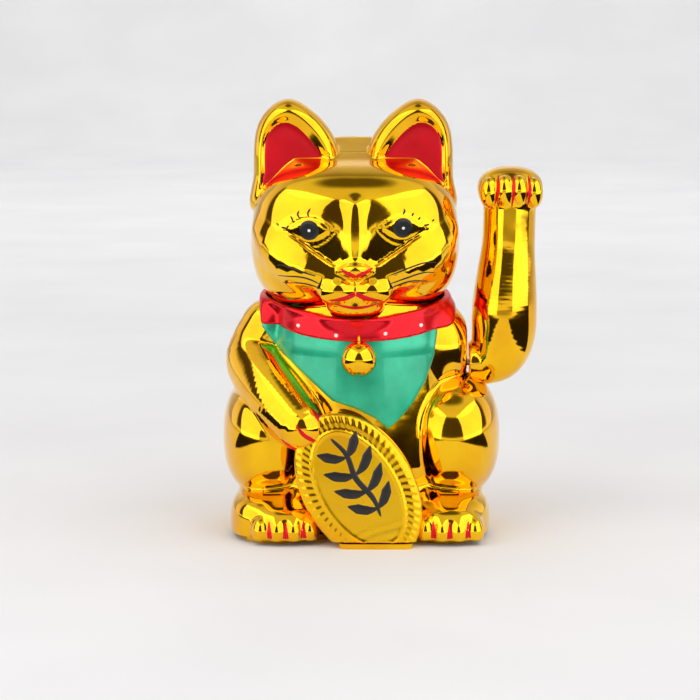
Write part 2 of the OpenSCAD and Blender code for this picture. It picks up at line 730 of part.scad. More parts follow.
module arm_solid(g = 0) {
    rings = [for (s = arm_stations) [for (i = [0:31]) let (a = 360 * i / 32,
            w = (s[2] + g) * cos(a), d = (s[3] + g) * sin(a))
        [s[0] + w * sin(s[4]), d, s[1] - w * cos(s[4])]]];
    last = arm_stations[len(arm_stations) - 1];
    ring_stack(rings, [arm_x, 0, pivot_z], [last[0], 0, last[1] + 0.7 + g]);
}

hub_l = 11;

module half_arm(side) {
    resize([0, 0, 0]) intersection() {
        translate([0, side < 0 ? -big : 0.05, 0]) cube(big);
        difference() {
            arm_solid();
            difference() {
                intersection() {
                    arm_solid(-wall + 0.2);
                    translate([arm_x + wall, -big / 2, 0]) cube([big, big, arm_top_z - wall]);
                }
                translate([arm_x, 0, pivot_z]) rotate([0, 90, 0]) cylinder(r = shaft_d / 2 + 2.4, h = hub_l, $fn = 24);
            }
            translate([arm_x - 1, 0, pivot_z]) rotate([0, 90, 0]) cylinder(r = shaft_d / 2 / cos(7.5), h = hub_l, $fn = 24);
        }
    }
}

module arm_front_shell() {
    color("gold") half_arm(-1);
}

module arm_rear_shell() {
    color("gold") half_arm(1);
}

// ---------- pendulum ----------

shaft_in = drive_x - drive_w / 2 - upright_t - 4;  // the shaft's inner end
weight_z = magnet_z + magnet_t + 4 + weight_d / 2 + 6;
eye_r = weight_d / 2 + 2;
cup_r = magnet_d / 2 + 1.2;
lever_t = 4;
lever_w = 8;
hub_w = drive_w - 7;

module on_axis(x) {
    translate([x, 0, pivot_z]) rotate([0, 90, 0]) children();
}

module pivot_shaft() {
    color("silver") on_axis(shaft_in) cylinder(r = shaft_d / 2, h = arm_x + hub_l - 1.5 - shaft_in);
}

module pendulum_lever() {
    cup_top = magnet_z + magnet_t + 3;
    color("whitesmoke") difference() {
        union() {
            on_axis(drive_x - hub_w / 2) cylinder(r = shaft_d / 2 + 2.5, h = hub_w);
            translate([drive_x - lever_t / 2, -lever_w / 2, cup_top - 1]) cube([lever_t, lever_w, pivot_z - cup_top]);
            translate([drive_x - lever_t / 2, 0, weight_z]) rotate([0, 90, 0]) cylinder(r = eye_r, h = lever_t);
            translate([drive_x, 0, magnet_z]) cylinder(r = cup_r, h = cup_top - magnet_z);
        }
        on_axis(drive_x - hub_w / 2 - 1) cylinder(r = shaft_d / 2, h = hub_w + 2);
        translate([drive_x - lever_t, 0, weight_z]) rotate([0, 90, 0]) cylinder(r = weight_d / 2, h = 2 * lever_t);
        translate([drive_x, 0, magnet_z - 1]) cylinder(r = magnet_d / 2, h = magnet_t + 1);
    }
}

module counterweight() {
    color("gray") translate([drive_x - weight_l / 2, 0, weight_z]) rotate([0, 90, 0]) cylinder(r = weight_d / 2, h = weight_l);
}

module drive_magnet() {
    color("darkgray") translate([drive_x, 0, magnet_z]) cylinder(r = magnet_d / 2, h = magnet_t);
}

module retaining_clips() {
    color("silver") for (x = [drive_x - drive_w / 2 - upright_t - 0.9, drive_x + drive_w / 2 + upright_t + 0.3])
        on_axis(x) difference() {
            cylinder(r = shaft_d / 2 + 2, h = 0.6);
            translate([0, 0, -1]) cylinder(r = shaft_d / 2, h = 3);
        }
}

front_shell();
rear_shell();
collar();
bib();
bell();
koban();
base_plate();
battery_door();
aa_cell();
positive_contact();
negative_spring();
switch_body();
switch_knob();
drive_frame();
circuit_board();
coil_bobbin();
coil_winding();
driver_chip();
capacitor();
transistor();
red_leads();
black_lead();
base_screws();
small_screws();
arm_front_shell();
arm_rear_shell();
pivot_shaft();
pendulum_lever();
counterweight();
drive_magnet();
retaining_clips();
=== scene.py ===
import json
import math
from functools import partial
from concurrent.futures import ThreadPoolExecutor

import bmesh
import bpy
import numpy as np
from mathutils import Matrix, Vector


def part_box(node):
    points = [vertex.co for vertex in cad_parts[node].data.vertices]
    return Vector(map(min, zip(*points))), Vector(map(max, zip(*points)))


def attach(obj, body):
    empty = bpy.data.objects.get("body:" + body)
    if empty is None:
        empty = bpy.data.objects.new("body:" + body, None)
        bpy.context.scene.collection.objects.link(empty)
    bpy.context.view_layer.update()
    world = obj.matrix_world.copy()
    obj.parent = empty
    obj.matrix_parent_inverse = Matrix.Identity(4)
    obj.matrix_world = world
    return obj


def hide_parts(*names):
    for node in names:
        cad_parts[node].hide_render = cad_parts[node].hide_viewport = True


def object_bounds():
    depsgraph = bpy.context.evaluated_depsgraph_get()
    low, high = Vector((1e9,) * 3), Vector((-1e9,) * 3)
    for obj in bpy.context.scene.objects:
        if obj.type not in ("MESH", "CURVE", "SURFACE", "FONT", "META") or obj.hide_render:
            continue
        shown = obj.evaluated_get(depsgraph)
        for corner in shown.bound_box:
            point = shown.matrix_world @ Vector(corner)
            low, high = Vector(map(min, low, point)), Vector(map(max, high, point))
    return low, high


bl_info = {
    "name": "Waving Cat Figurine",
    "version": (1, 0, 0),
    "blender": (4, 5, 0),
    "location": "View3D > Sidebar > Waving Cat",
    "description": "Dresses the waving cat's frame in its plated shells, painted details and inner works",
    "category": "Object",
}

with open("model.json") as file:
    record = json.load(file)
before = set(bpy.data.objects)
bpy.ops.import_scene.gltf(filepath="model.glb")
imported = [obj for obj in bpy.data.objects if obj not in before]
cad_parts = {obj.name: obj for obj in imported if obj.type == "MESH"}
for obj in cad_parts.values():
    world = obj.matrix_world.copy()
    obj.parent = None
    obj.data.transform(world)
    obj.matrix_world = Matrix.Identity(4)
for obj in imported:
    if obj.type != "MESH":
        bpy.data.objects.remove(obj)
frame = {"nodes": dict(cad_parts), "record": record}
CAD_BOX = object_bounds()
MM = 0.001                  # shapes are worked out in millimetres and placed in metres
HEAD_X = -2.2               # sideways lean of the head
SEAM_Y = -6.0               # where the front and rear shells meet
PIVOT_Z = 76.6              # height of the waving axis
SHOULDER_X = 50.0           # the flat shoulder face
ARM_INNER = 50.8            # the raised arm starts here, past its gap to the shoulder
BASE_Z = 2.7                # lower edge of the shells


# ---------- solid shapes as distances: negative inside, millimetres ----------

def blob(p, c, r, n=2.0, m=2.0, turn=None):
    """Superellipsoid: n rounds its outline seen from the front, m rounds it from front to back."""
    q = [p[i] - c[i] for i in range(3)]
    if turn is not None:
        q = [sum(turn[i][j] * q[j] for j in range(3)) for i in range(3)]
    tiny = 1e-6
    ax, ay, az = (np.abs(q[i]) / r[i] + tiny for i in range(3))
    g = (ax ** n + az ** n) ** (1 / n)
    f = (g ** m + ay ** m) ** (1 / m)
    side = (g / f) ** (m - 1)
    gx = side * (ax / g) ** (n - 1) / r[0]
    gz = side * (az / g) ** (n - 1) / r[2]
    gy = (ay / f) ** (m - 1) / r[1]
    return (f - 1) / np.sqrt(gx * gx + gy * gy + gz * gz)


def rod(p, a, b, ra, rb):
    """Round bar from a to b whose radius runs from ra to rb."""
    ab = [b[i] - a[i] for i in range(3)]
    q = [p[i] - a[i] for i in range(3)]
    t = np.clip(sum(q[i] * ab[i] for i in range(3)) / sum(v * v for v in ab), 0, 1)
    away = np.sqrt(sum((q[i] - t * ab[i]) ** 2 for i in range(3)))
    return away - (ra + t * (rb - ra))


def chain(p, stations, k=3.0):
    """Bars from station to station, each station a point and a radius."""
    d = None
    for (a, ra), (b, rb) in zip(stations, stations[1:]):
        bar = rod(p, a, b, ra, rb)
        d = bar if d is None else join(d, bar, k)
    return d


def limb(p, stations, count=16):
    """A smooth limb whose middle line and radius run as one curve through the stations."""
    line, _ = curve_through([tuple(c) + (r,) for c, r in stations], count)
    d = None
    for a, b in zip(line, line[1:]):
        bar = rod(p, a[:3], b[:3], a[3], b[3])
        d = bar if d is None else np.minimum(d, bar)
    return d


def join(a, b, k):
    h = np.clip(0.5 + 0.5 * (b - a) / k, 0, 1)
    return b + (a - b) * h - k * h * (1 - h)


def meet(a, b, k):
    return -join(-a, -b, k)


def cut(a, b, k):
    return meet(a, -b, k)


def step_up(v, low, high):
    t = np.clip((v - low) / (high - low), 0, 1)
    return t * t * (3 - 2 * t)


def turned(outward, downward):
    """Rows that turn a point into a frame whose -Y axis points outward and down, in degrees."""
    a = Matrix.Rotation(math.radians(outward), 3, "Z")
    b = Matrix.Rotation(math.radians(-downward), 3, "X")
    return [list(row) for row in (a @ b).inverted()]


# ---------- the figure ----------

EYES = ((-22.9, 142.3), (19.3, 143.4))      # x and z of the middle of each eye


EAR_X = -3.1                                # the ears are mirrored about this plane
EAR_EDGE = [(46, 148), (46.1, 165), (46.0, 176), (45.2, 183.5), (43.6, 188.8), (41.2, 192.9), (38.0, 196.3),
            (34.2, 198.8), (30.2, 199.9), (26.4, 199.2), (22.6, 197.2), (18.8, 194.4), (14.8, 190.7),
            (11.4, 186.6), (8.9, 182.4), (7.2, 178), (6.6, 172), (8, 162), (18, 152)]
EAR_RIM = [(45, 156), (44.0, 168), (43.6, 178), (42.6, 184), (39.6, 189.2), (35.0, 192.6), (30, 193.4),
           (25.2, 191.6), (20.6, 187.8), (16.2, 182.9), (12.2, 177.4), (8.8, 171.5), (12, 160), (30, 152)]
EAR_FLOOR = [(40.8, 159.5), (40.9, 168), (40.8, 177), (39.6, 183), (36.2, 187.5), (31.8, 189.3), (27.2,
    188.2),
             (22.8, 184.8), (18.8, 180.4), (15.2, 175.5), (12.4, 171), (14, 166.8), (20, 160), (30, 156)]
EAR_FRONT_Y, EAR_FLOOR_Y, EAR_BACK_Y = -14.0, -11.6, 3.2


def polygon_distance(x, z, corners):
    """Signed distance in the plane to a polygon's outline."""
    d = np.full_like(x, 1e9)
    inside = np.zeros(x.shape, bool)
    for (ax, az), (bx, bz) in zip(corners, corners[1:] + corners[:1]):
        ex, ez = bx - ax, bz - az
        t = np.clip(((x - ax) * ex + (z - az) * ez) / (ex * ex + ez * ez), 0, 1)
        d = np.minimum(d, (x - ax - t * ex) ** 2 + (z - az - t * ez) ** 2)
        if ez:
            inside ^= ((az > z) != (bz > z)) & (x < ex * (z - az) / ez + ax)
    return np.where(inside, -1, 1) * np.sqrt(d)


def smooth_loop(points, count):
    """A closed outline drawn smoothly through the given points."""
    looped = list(points[-3:]) + list(points) + list(points[:3])
    line, _ = curve_through(looped, 40 * len(looped))
    a = np.argmin(np.sum((line[:80 * 3] - points[0]) ** 2, axis=1))
    b = len(line) - 240 + np.argmin(np.sum((line[-240:] - points[0]) ** 2, axis=1))
    at = np.linspace(a, b, count, endpoint=False)
    return [tuple(np.array([np.interp(v, np.arange(len(line)), line[:, i]) for i in (0, 1)])) for v in at]


class Outline:
    """A smooth closed outline whose distance is looked up from a fine table."""

    def __init__(self, points, margin=26, cell=0.3):
        self.loop = smooth_loop(points, 160)
        pts = np.array(self.loop)
        self.low, self.cell = pts.min(0) - margin, cell
        counts = np.ceil((pts.max(0) + margin - self.low) / cell).astype(int) + 1
        gx, gz = np.meshgrid(*[self.low[i] + np.arange(counts[i]) * cell for i in (0, 1)], indexing="ij")
        self.table = polygon_distance(gx, gz, [tuple(v) for v in self.loop])

    def __call__(self, x, z):
        u, w = (x - self.low[0]) / self.cell, (z - self.low[1]) / self.cell
        cu = np.clip(u, 0, self.table.shape[0] - 1.001)
        cw = np.clip(w, 0, self.table.shape[1] - 1.001)
        i, j = cu.astype(int), cw.astype(int)
        fu, fw = cu - i, cw - j
        t = self.table
        d = ((t[i, j] * (1 - fu) + t[i + 1, j] * fu) * (1 - fw)
             + (t[i, j + 1] * (1 - fu) + t[i + 1, j + 1] * fu) * fw)
        return d + np.hypot(u - cu, w - cw) * self.cell


OUTLINES = {}


def draw_outlines():
    OUTLINES.update(edge=Outline(EAR_EDGE), rim=Outline(EAR_RIM), floor=Outline(EAR_FLOOR),
                    socket=Outline(SOCKET))


def ear(p, side):
    x, y, z = p
    u = (x - EAR_X) * side
    edge = OUTLINES["edge"](u, z)
    front, back = (EAR_FRONT_Y, 7.4, 10.2), (EAR_BACK_Y, 7.0, 7.0)
    d = None
    for (plane, inset, depth), way in ((front, -1), (back, 1)):
        a = np.maximum((edge + inset) / inset, 0)
        b = np.maximum((way * (y - plane) + depth) / depth, 0)
        f = np.sqrt(a * a + b * b) + 1e-6
        g = np.sqrt((a / inset) ** 2 + (b / depth) ** 2) / f + 1e-6
        half = (f - 1) / np.maximum(g, 0.08)
        d = half if d is None else np.maximum(d, half)
    rim = OUTLINES["rim"](u, z)
    floor = OUTLINES["floor"](u, z)
    slope_in = np.clip(-rim / np.maximum(floor - rim, 0.5), 0, 1)
    bowl = meet(rim, y - (EAR_FRONT_Y + (EAR_FLOOR_Y - EAR_FRONT_Y + 0.4) * slope_in), 0.9)
    return cut(d, bowl, 1.0)


# Edge of each eye socket, outward from the head's middle and up.
SOCKET = [(8.9, 156.4), (14, 155.6), (20, 153.5), (27, 151.4), (31.6, 149.2), (33.4, 145.5), (33.5, 141.4),
          (30.1, 139.5), (24, 135.8), (17, 131.2), (11, 127.4), (8.9, 126.9), (6.6, 130),
          (6.4, 141), (6.8, 153)]


def head(p):
    x, y, z = p
    jaw = blob(p, (HEAD_X, -5, 131), (47.3, 37, 31), 2.7, 2.2)
    brow = blob(p, (HEAD_X, -6, 140), (47, 36.5, 32), 2.7, 2.4)
    back = blob(p, (HEAD_X, 6, 142), (46.5, 36, 40), 2.6, 2.2)
    roof_front = (y + 6) * -0.395 + (z - 175.7) * 0.919
    roof_back = (y + 6) * -0.41 + (z - 175.7) * 0.912
    d = join(jaw, brow, 5)
    d = join(d, meet(meet(back, roof_front, 0.8), roof_back, 0.8), 1.2)
    for s in (-1, 1):
        d = join(d, limb(p, [((HEAD_X + s * 12, -37.5, 120.5), 6.0), ((HEAD_X + s * 25, -33.8, 125.5), 7.6),
                             ((HEAD_X + s * 34.5, -26.5, 132), 7.6), ((HEAD_X + s * 40, -18, 140), 5.6)],
                                 9), 5)
    for s in (-1, 1):
        u = (x - HEAD_X) * s
        floor = (y + 38.6) - (u - 21) * 0.30 + (z - 142) * 0.08
        d = cut(d, meet(OUTLINES["socket"](u, z), floor, 1.0), 1.2)
    d = join(d, rod(p, (HEAD_X, -41.5, 127), (HEAD_X, -38.0, 152), 3.4, 4.8), 3)
    d = join(d, blob(p, (HEAD_X, -42.5, 124.6), (8.2, 5.5, 4.4), 1.5, 2.0), 1.6)
    for s in (-1, 1):
        d = join(d, blob(p, (HEAD_X + s * 7.6, -38.2, 115.2), (9.6, 8.6, 7.4)), 2.2)
    d = join(d, blob(p, (HEAD_X, -35.5, 107.5), (13, 8, 5.2)), 3)
    for s in (-1, 1):
        d = join(d, ear(p, s), 1.0)
    return d


def eye_relief(p):
    """The lidded eyes stand out a little from their sockets."""
    x, y, z = p
    height = np.zeros_like(x)
    for ex, ez in EYES:
        u, v = (x - ex) / 11.0, (z - ez)
        lens = np.maximum(np.abs(v) + 6.2 * u * u - 5.6, -5.6)
        height = height + 0.5 * (1 - step_up(lens, -2.2, 0.2)) + 0.2 * np.exp(-((lens - 1.2) / 0.9) ** 2)
    return height * step_up(-y, 22, 30)


def torso(p):
    x, y, z = p
    core = rod((x * 0.92, y, z), (0, 0, 34), (0, -2, 86), 42.5, 37.5)
    right = blob(p, (32, 0, 84), (20.5, 22, 24))
    d = join(core, right, 5)
    d = meet(d, np.where(z > 64.5, x - SHOULDER_X, x - 80), 0.8)
    return d


def left_arm(p):
    return limb(p, [((-41.0, 0, 92), 15.4), ((-45.6, -1, 84), 15.2), ((-47.3, -7, 76.5), 14.9),
                    ((-38, -27, 65), 14.2), ((-29, -41, 56), 12.2), ((-26.5, -44.5, 53.5), 11.0)], 28)


def fingers(p):
    """The folded hand's rounded toes, across the hand's lower right end."""
    d = None
    for t in (-1.5, -0.5, 0.5, 1.5):
        c = (-22.4 - 4.6 * t * 0.72 - 1.2 * abs(t) * 0.6, -48.0 + abs(t) * 1.5, 52.0 - 5.4 * t * 0.72 * -1)
        toe = blob(p, c, (5.2, 5.0, 4.6))
        d = toe if d is None else join(d, toe, 1.0)
    return d


def haunches(p):
    a = blob(p, (-41.4, -5, 44), (22.6, 35, 28.6), 2.5, 2.2, turned(0, -4))
    b = blob(p, (42.6, -5, 44), (22.8, 35, 28.6), 2.5, 2.2, turned(0, -4))
    return np.minimum(a, b)


PAWS = (-34.0, 40.9)                        # x of the middle of each foot's toes


def feet(p):
    d = None
    for s, px in zip((-1, 1), PAWS):
        foot = blob(p, (s * 39.4, -20, 7.5), (20.6, 27, 14.6), 3.2, 2.6)
        foot = join(foot, blob(p, (px, -40, 6.5), (15.4, 12.5, 11.0), 2.5, 2.3), 2.0)
        for t in (-1.5, -0.5, 0.5, 1.5):
            toe = blob(p, (px + t * 7.5, -48.4 + 1.0 * t * t, 6.0), (4.4, 6.2, 6.8))
            foot = join(foot, toe, 1.2)
        d = foot if d is None else np.minimum(d, foot)
    return d


def tail(p):
    return chain(p, [((26, 34, 9), 8), ((14, 42, 13), 7.5), ((2, 44, 19), 6.5), ((-5, 43.5, 27), 5)], 3)


def figure(p):
    x, y, z = p
    d = torso(p)
    d = join(d, left_arm(p), 2.0)
    d = join(d, fingers(p), 1.0)
    d = join(d, haunches(p), 1.8)
    d = join(d, blob(p, (0, 1, 12), (57.5, 43.5, 17), 2.4, 2.4), 3)
    d = join(d, feet(p), 2.6)
    d = join(d, tail(p), 1.6)
    d = join(d, head(p), 2.5)
    d = d - eye_relief(p)
    hub = np.sqrt(y * y + (z - PIVOT_Z) ** 2)
    return cut(d, meet(hub - 3.6, np.abs(x - SHOULDER_X) - 5, 0.4), 0.4)


def waving_arm(p):
    """The raised arm with its curled paw."""
    d = limb(p, [((54.0, 0, PIVOT_Z), 10.0), ((59.5, 0, 77.2), 10.9), ((64.8, 0, 81.5), 13.2),
                 ((67.2, 0, 90), 14.9), ((67.6, 0, 102), 15.2), ((68.3, 0, 116), 14.0),
                 ((69.2, 0, 132), 12.4), ((69.7, 0, 150), 12.2)], 44)
    d = join(d, blob(p, (69.8, 0.4, 158.2), (15.2, 12.8, 10.4), 2.3, 2.1), 3.0)
    for t in (-1.5, -0.5, 0.5, 1.5):
        toe = blob(p, (69.8 + t * 7.0, -10.6 + 0.9 * t * t, 158.0 - 0.5 * t * t), (4.1, 4.4, 7.0))
        d = join(d, toe, 1.2)
    return meet(d, ARM_INNER - p[0], 0.6)


# ---------- meshes from distances ----------

BLOCK = 12


def sample(field, x, y, z):
    """The field at many points, shared between threads."""
    shape = x.shape
    flat = [np.ascontiguousarray(v, dtype=np.float32).reshape(-1) for v in (x, y, z)]
    size = 120000
    parts = [(i, min(i + size, flat[0].size)) for i in range(0, flat[0].size, size)]
    out = np.empty(flat[0].size, np.float32)

    def work(part):
        i, j = part
        out[i:j] = field(tuple(v[i:j] for v in flat))

    with ThreadPoolExecutor(4) as pool:
        list(pool.map(work, parts))
    return out.reshape(shape)


def surface(field, low, high, step):
    """Vertices and quads of the zero surface of a field, on a sparse grid."""
    low = np.array(low, float)
    side = BLOCK * step
    counts = np.ceil((np.array(high, float) - low) / side).astype(int)
    corner = np.stack(np.meshgrid(*[np.arange(n) for n in counts], indexing="ij"), -1).reshape(-1, 3)
    mid = low + (corner + 0.5) * side
    near = np.abs(sample(field, *mid.T)) < side * 0.87 * 1.25 + 2
    corner = corner[near]
    g = np.arange(BLOCK + 1)
    lattice = np.stack(np.meshgrid(g, g, g, indexing="ij"), -1)
    index = corner[:, None, None, None, :] * BLOCK + lattice[None]
    pos = low + index * step
    d = sample(field, pos[..., 0], pos[..., 1], pos[..., 2]).astype(float)
    inside = d < 0
    total = counts * BLOCK + 3

    def key(ijk):
        return ((ijk[..., 0] + 1) * total[1] + ijk[..., 1] + 1) * total[2] + ijk[..., 2] + 1

    cells = slice(0, BLOCK), slice(1, BLOCK + 1)
    offsets = [(i, j, k) for i in (0, 1) for j in (0, 1) for k in (0, 1)]
    corners = {o: (slice(None),) + tuple(cells[v] for v in o) for o in offsets}
    count = sum(inside[corners[o]].astype(int) for o in offsets)
    mixed = (count > 0) & (count < 8)
    base = pos[corners[(0, 0, 0)]][mixed]
    cell_key = key(index[corners[(0, 0, 0)]][mixed])
    values = {o: d[corners[o]][mixed] for o in offsets}
    total_pos, hits = np.zeros_like(base), np.zeros(len(base))
    for axis in range(3):
        for o in offsets:
            if o[axis]:
                continue
            far = tuple(1 if i == axis else o[i] for i in range(3))
            a, b = values[o], values[far]
            crossed = (a < 0) != (b < 0)
            t = np.where(crossed, a / np.where(crossed, a - b, 1), 0)
            point = np.array(o, float)[None].repeat(len(base), 0)
            point[:, axis] += t
            total_pos += point * crossed[:, None]
            hits += crossed
    verts = base + total_pos / hits[:, None] * step
    order = np.argsort(cell_key)
    cell_key, verts = cell_key[order], verts[order]
    quads = []
    inner = slice(0, BLOCK)
    for axis in range(3):
        u, v = (axis + 1) % 3, (axis + 2) % 3
        first = (slice(None), inner, inner, inner)
        second = tuple([slice(None)] + [slice(1, BLOCK + 1) if i == axis else inner for i in range(3)])
        a, b = inside[first], inside[second]
        for grow, want in ((False, a & ~b), (True, ~a & b)):
            at = index[first][want]
            if not len(at):
                continue
            du, dv = np.zeros(3, int), np.zeros(3, int)
            du[u], dv[v] = 1, 1
            ring = [at, at - du, at - du - dv, at - dv]
            if grow:
                ring = ring[::-1]
            quads.append(np.stack([key(r) for r in ring], 1))
    quads = np.searchsorted(cell_key, np.concatenate(quads))
    return verts, quads


def slope(field, v, h=0.04):
    g = np.empty_like(v)
    for i in range(3):
        a, b = v.copy(), v.copy()
        a[:, i] += h
        b[:, i] -= h
        g[:, i] = (sample64(field, a) - sample64(field, b)) / (2 * h)
    return g


def sample64(field, v):
    size = 60000
    out = np.empty(len(v))

    def work(i):
        j = min(i + size, len(v))
        out[i:j] = field(tuple(v[i:j].T))

    with ThreadPoolExecutor(4) as pool:
        list(pool.map(work, range(0, len(v), size)))
    return out


def settle(field, verts, quads, rounds=3, limit=0.5):
    """Evens out the vertices and puts them back on the surface."""
    a = quads.reshape(-1)
    b = np.roll(quads, -1, 1).reshape(-1)
    n = len(verts)
    degree = np.bincount(a, minlength=n) + np.bincount(b, minlength=n)
    for _ in range(rounds):
        mean = np.empty_like(verts)
        for i in range(3):
            mean[:, i] = (np.bincount(a, verts[b, i], n) + np.bincount(b, verts[a, i], n)) / degree
        g = slope(field, verts)
        g /= np.maximum(np.linalg.norm(g, axis=1), 1e-6)[:, None]
        move = mean - verts
        move -= g * np.sum(move * g, axis=1)[:, None]
        verts = verts + 0.6 * move
        for _ in range(2):
            g = slope(field, verts)
            size = np.maximum(np.sum(g * g, axis=1), 0.2)
            shift = g * (sample64(field, verts) / size)[:, None]
            long = np.linalg.norm(shift, axis=1)
            shift *= np.minimum(1, limit / np.maximum(long, 1e-9))[:, None]
            verts = verts - shift
    return verts


def new_mesh(name, verts, faces, smooth=True):
    """An object from vertices in millimetres."""
    mesh = bpy.data.meshes.new(name)
    if isinstance(faces, np.ndarray):
        n, k = faces.shape
        mesh.vertices.add(len(verts))
        mesh.vertices.foreach_set("co", (np.asarray(verts) * MM).astype(np.float32).reshape(-1))
        mesh.loops.add(n * k)
        mesh.loops.foreach_set("vertex_index", faces.astype(np.int32).reshape(-1))
        mesh.polygons.add(n)
        mesh.polygons.foreach_set("loop_start", np.arange(0, n * k, k, dtype=np.int32))
        mesh.update(calc_edges=True)
    else:
        mesh.from_pydata([tuple(c * MM for c in v) for v in verts], [], faces)
    mesh.validate()
    mesh.shade_smooth() if smooth else mesh.shade_flat()
    obj = bpy.data.objects.new(name, mesh)
    bpy.context.scene.collection.objects.link(obj)
    return obj


def trim(obj, point, normal):
    """Cuts away what lies on the normal's side of a plane, millimetres."""
    bm = bmesh.new()
    bm.from_mesh(obj.data)
    bmesh.ops.bisect_plane(bm, geom=bm.verts[:] + bm.edges[:] + bm.faces[:], dist=1e-6,
                           plane_co=Vector(point) * MM, plane_no=Vector(normal), clear_outer=True)
    bm.to_mesh(obj.data)
    bm.free()
    obj.data.shade_smooth()


def thicken(obj, wall):
    """Gives a shell its wall, inwards, in millimetres."""
    mod = obj.modifiers.new("wall", "SOLIDIFY")
    mod.thickness = wall * MM
    mod.offset = -1
    mod.use_even_offset = False
    apply_modifiers(obj)


def apply_modifiers(obj):
    depsgraph = bpy.context.evaluated_depsgraph_get()
    mesh = bpy.data.meshes.new_from_object(obj.evaluated_get(depsgraph))
    obj.modifiers.clear()
    old, obj.data = obj.data, mesh
    bpy.data.meshes.remove(old)


# ---------- paint laid on a surface ----------

def land(field, points, push=(0, 1, 0), reach=60):
    """Moves points along push until they meet the surface."""
    push = np.array(push, float) / np.linalg.norm(push)
    p = np.array(points, float)
    for _ in range(reach):
        p = p + push * (0.8 * field(tuple(p.T)))[:, None]
    if np.abs(field(tuple(p.T))).max() > 0.6:
        raise RuntimeError("a painted detail misses the surface")
    return p


def lifted(field, points, height, push):
    """Points on the surface, raised along its normal."""
    p = land(field, points, push)
    g = slope(field, p)
    g /= np.maximum(np.linalg.norm(g, axis=1), 1e-6)[:, None]
    return p + g * np.asarray(height)[:, None]


def curve_through(points, count):
    """Evenly spread points on a smooth curve through the given ones."""
    pts = np.array(points, float)
    ends = np.vstack([2 * pts[0] - pts[1], pts, 2 * pts[-1] - pts[-2]])
    out = []
    for i in range(len(pts) - 1):
        a, b, c, d = ends[i:i + 4]
        for t in np.linspace(0, 1, 16, endpoint=False):
            out.append(0.5 * (2 * b + (c - a) * t + (2 * a - 5 * b + 4 * c - d) * t ** 2
                              + (3 * b - a - 3 * c + d) * t ** 3))
    out.append(pts[-1])
    out = np.array(out)
    run = np.concatenate([[0], np.cumsum(np.linalg.norm(np.diff(out, axis=0), axis=1))])
    at = np.linspace(0, run[-1], count)
    return np.stack([np.interp(at, run, out[:, i]) for i in range(out.shape[1])], 1), at / run[-1]


class Brush:
    """Gathers strokes and patches of one paint on one surface, or on a flat one, into a single mesh."""

    def __init__(self, field, start=-80.0, push=(0, 1, 0), lift=0.14, place=None):
        self.field, self.start, self.push, self.lift = field, start, push, lift
        self.place = place
        self.verts, self.faces = [], []

    def put(self, flat, height, faces):
        """Flat points in x and z go onto the surface."""
        p = np.stack([flat[:, 0], np.full(len(flat), self.start), flat[:, 1]], 1)
        if self.place is not None:
            p = np.array([self.place(*v) for v in flat])
        if self.field is None:
            p[:, 1] -= height
        else:
            p = lifted(self.field, p, height, self.push)
        base = sum(len(v) for v in self.verts)
        self.verts.append(p)
        self.faces += [tuple(base + i for i in f) for f in faces]

    def stroke(self, line, widths, across=7):
        """A tapering brush stroke along a line, widths from its start to its end."""
        count = max(8, int(3 * len(line) + 1.6
                           * np.linalg.norm(np.diff(np.array(line, float), axis=0), axis=1).sum()))
        mid, t = curve_through(line, count)
        wide = np.interp(t, np.linspace(0, 1, len(widths)), widths)
        along = np.gradient(mid, axis=0)
        along /= np.maximum(np.linalg.norm(along, axis=1), 1e-9)[:, None]
        aside = np.stack([-along[:, 1], along[:, 0]], 1)
        round_end = np.sqrt(np.clip(1 - np.clip((np.abs(t - 0.5) * 2 - 0.86) / 0.14, 0, 1) ** 2, 0.02, 1))
        s = np.linspace(-1, 1, across)
        flat = (mid[:, None, :]
                + aside[:, None, :] * (s[None, :, None] * (wide * round_end / 2)[:, None, None]))
        height = self.lift * (1 - s ** 4)[None, :] * np.clip(round_end, 0.3, 1)[:, None] - 0.03
        faces = [(i * across + j, i * across + j + 1, (i + 1) * across + j + 1, (i + 1) * across + j)
                 for i in range(count - 1) for j in range(across - 1)]
        self.put(flat.reshape(-1, 2), height.reshape(-1), faces)

    def patch(self, outline, rings=10, middle=None):
        """A filled patch inside an outline."""
        outline = np.array(outline, float)
        middle = outline.mean(0) if middle is None else np.array(middle, float)
        n = len(outline)
        share = np.linspace(0, 1, rings + 1)[1:] ** 0.8
        flat = np.vstack([middle[None]] + [middle + (outline - middle) * r for r in share])
        height = np.concatenate([[1.0]] + [np.full(n, 1 - r ** 10) for r in share]) * self.lift - 0.03
        faces = [(0, 1 + (i + 1) % n, 1 + i) for i in range(n)]
        faces += [(1 + r * n + i, 1 + r * n + (i + 1) % n, 1 + (r + 1) * n + (i + 1) % n, 1 + (r + 1) * n + i)
                  for r in range(rings - 1) for i in range(n)]
        self.put(flat, height, faces)

    def disc(self, x, z, r, squash=1.0, rings=8, sides=40):
        a = np.linspace(0, 2 * np.pi, sides, endpoint=False)
        self.patch(np.stack([x + r * np.cos(a), z + r * squash * np.sin(a)], 1), rings, (x, z))

    def done(self, name, material, body="figure", slot=None):
        obj = new_mesh(name, np.vstack(self.verts), self.faces)
        bm = bmesh.new()
        bm.from_mesh(obj.data)
        bmesh.ops.recalc_face_normals(bm, faces=bm.faces)
        bm.to_mesh(obj.data)
        bm.free()
        obj.data.shade_smooth()
        return settle_in(obj, material, body, slot)


def settle_in(obj, material, body, slot=None, *nodes):
    """Material, body and the CAD nodes that a piece stands for. The record slot argument is not used."""
    obj.data.materials.clear()
    obj.data.materials.append(material)
    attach(obj, body)
    if nodes:
        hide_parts(*nodes)
    return obj


# ---------- materials ----------

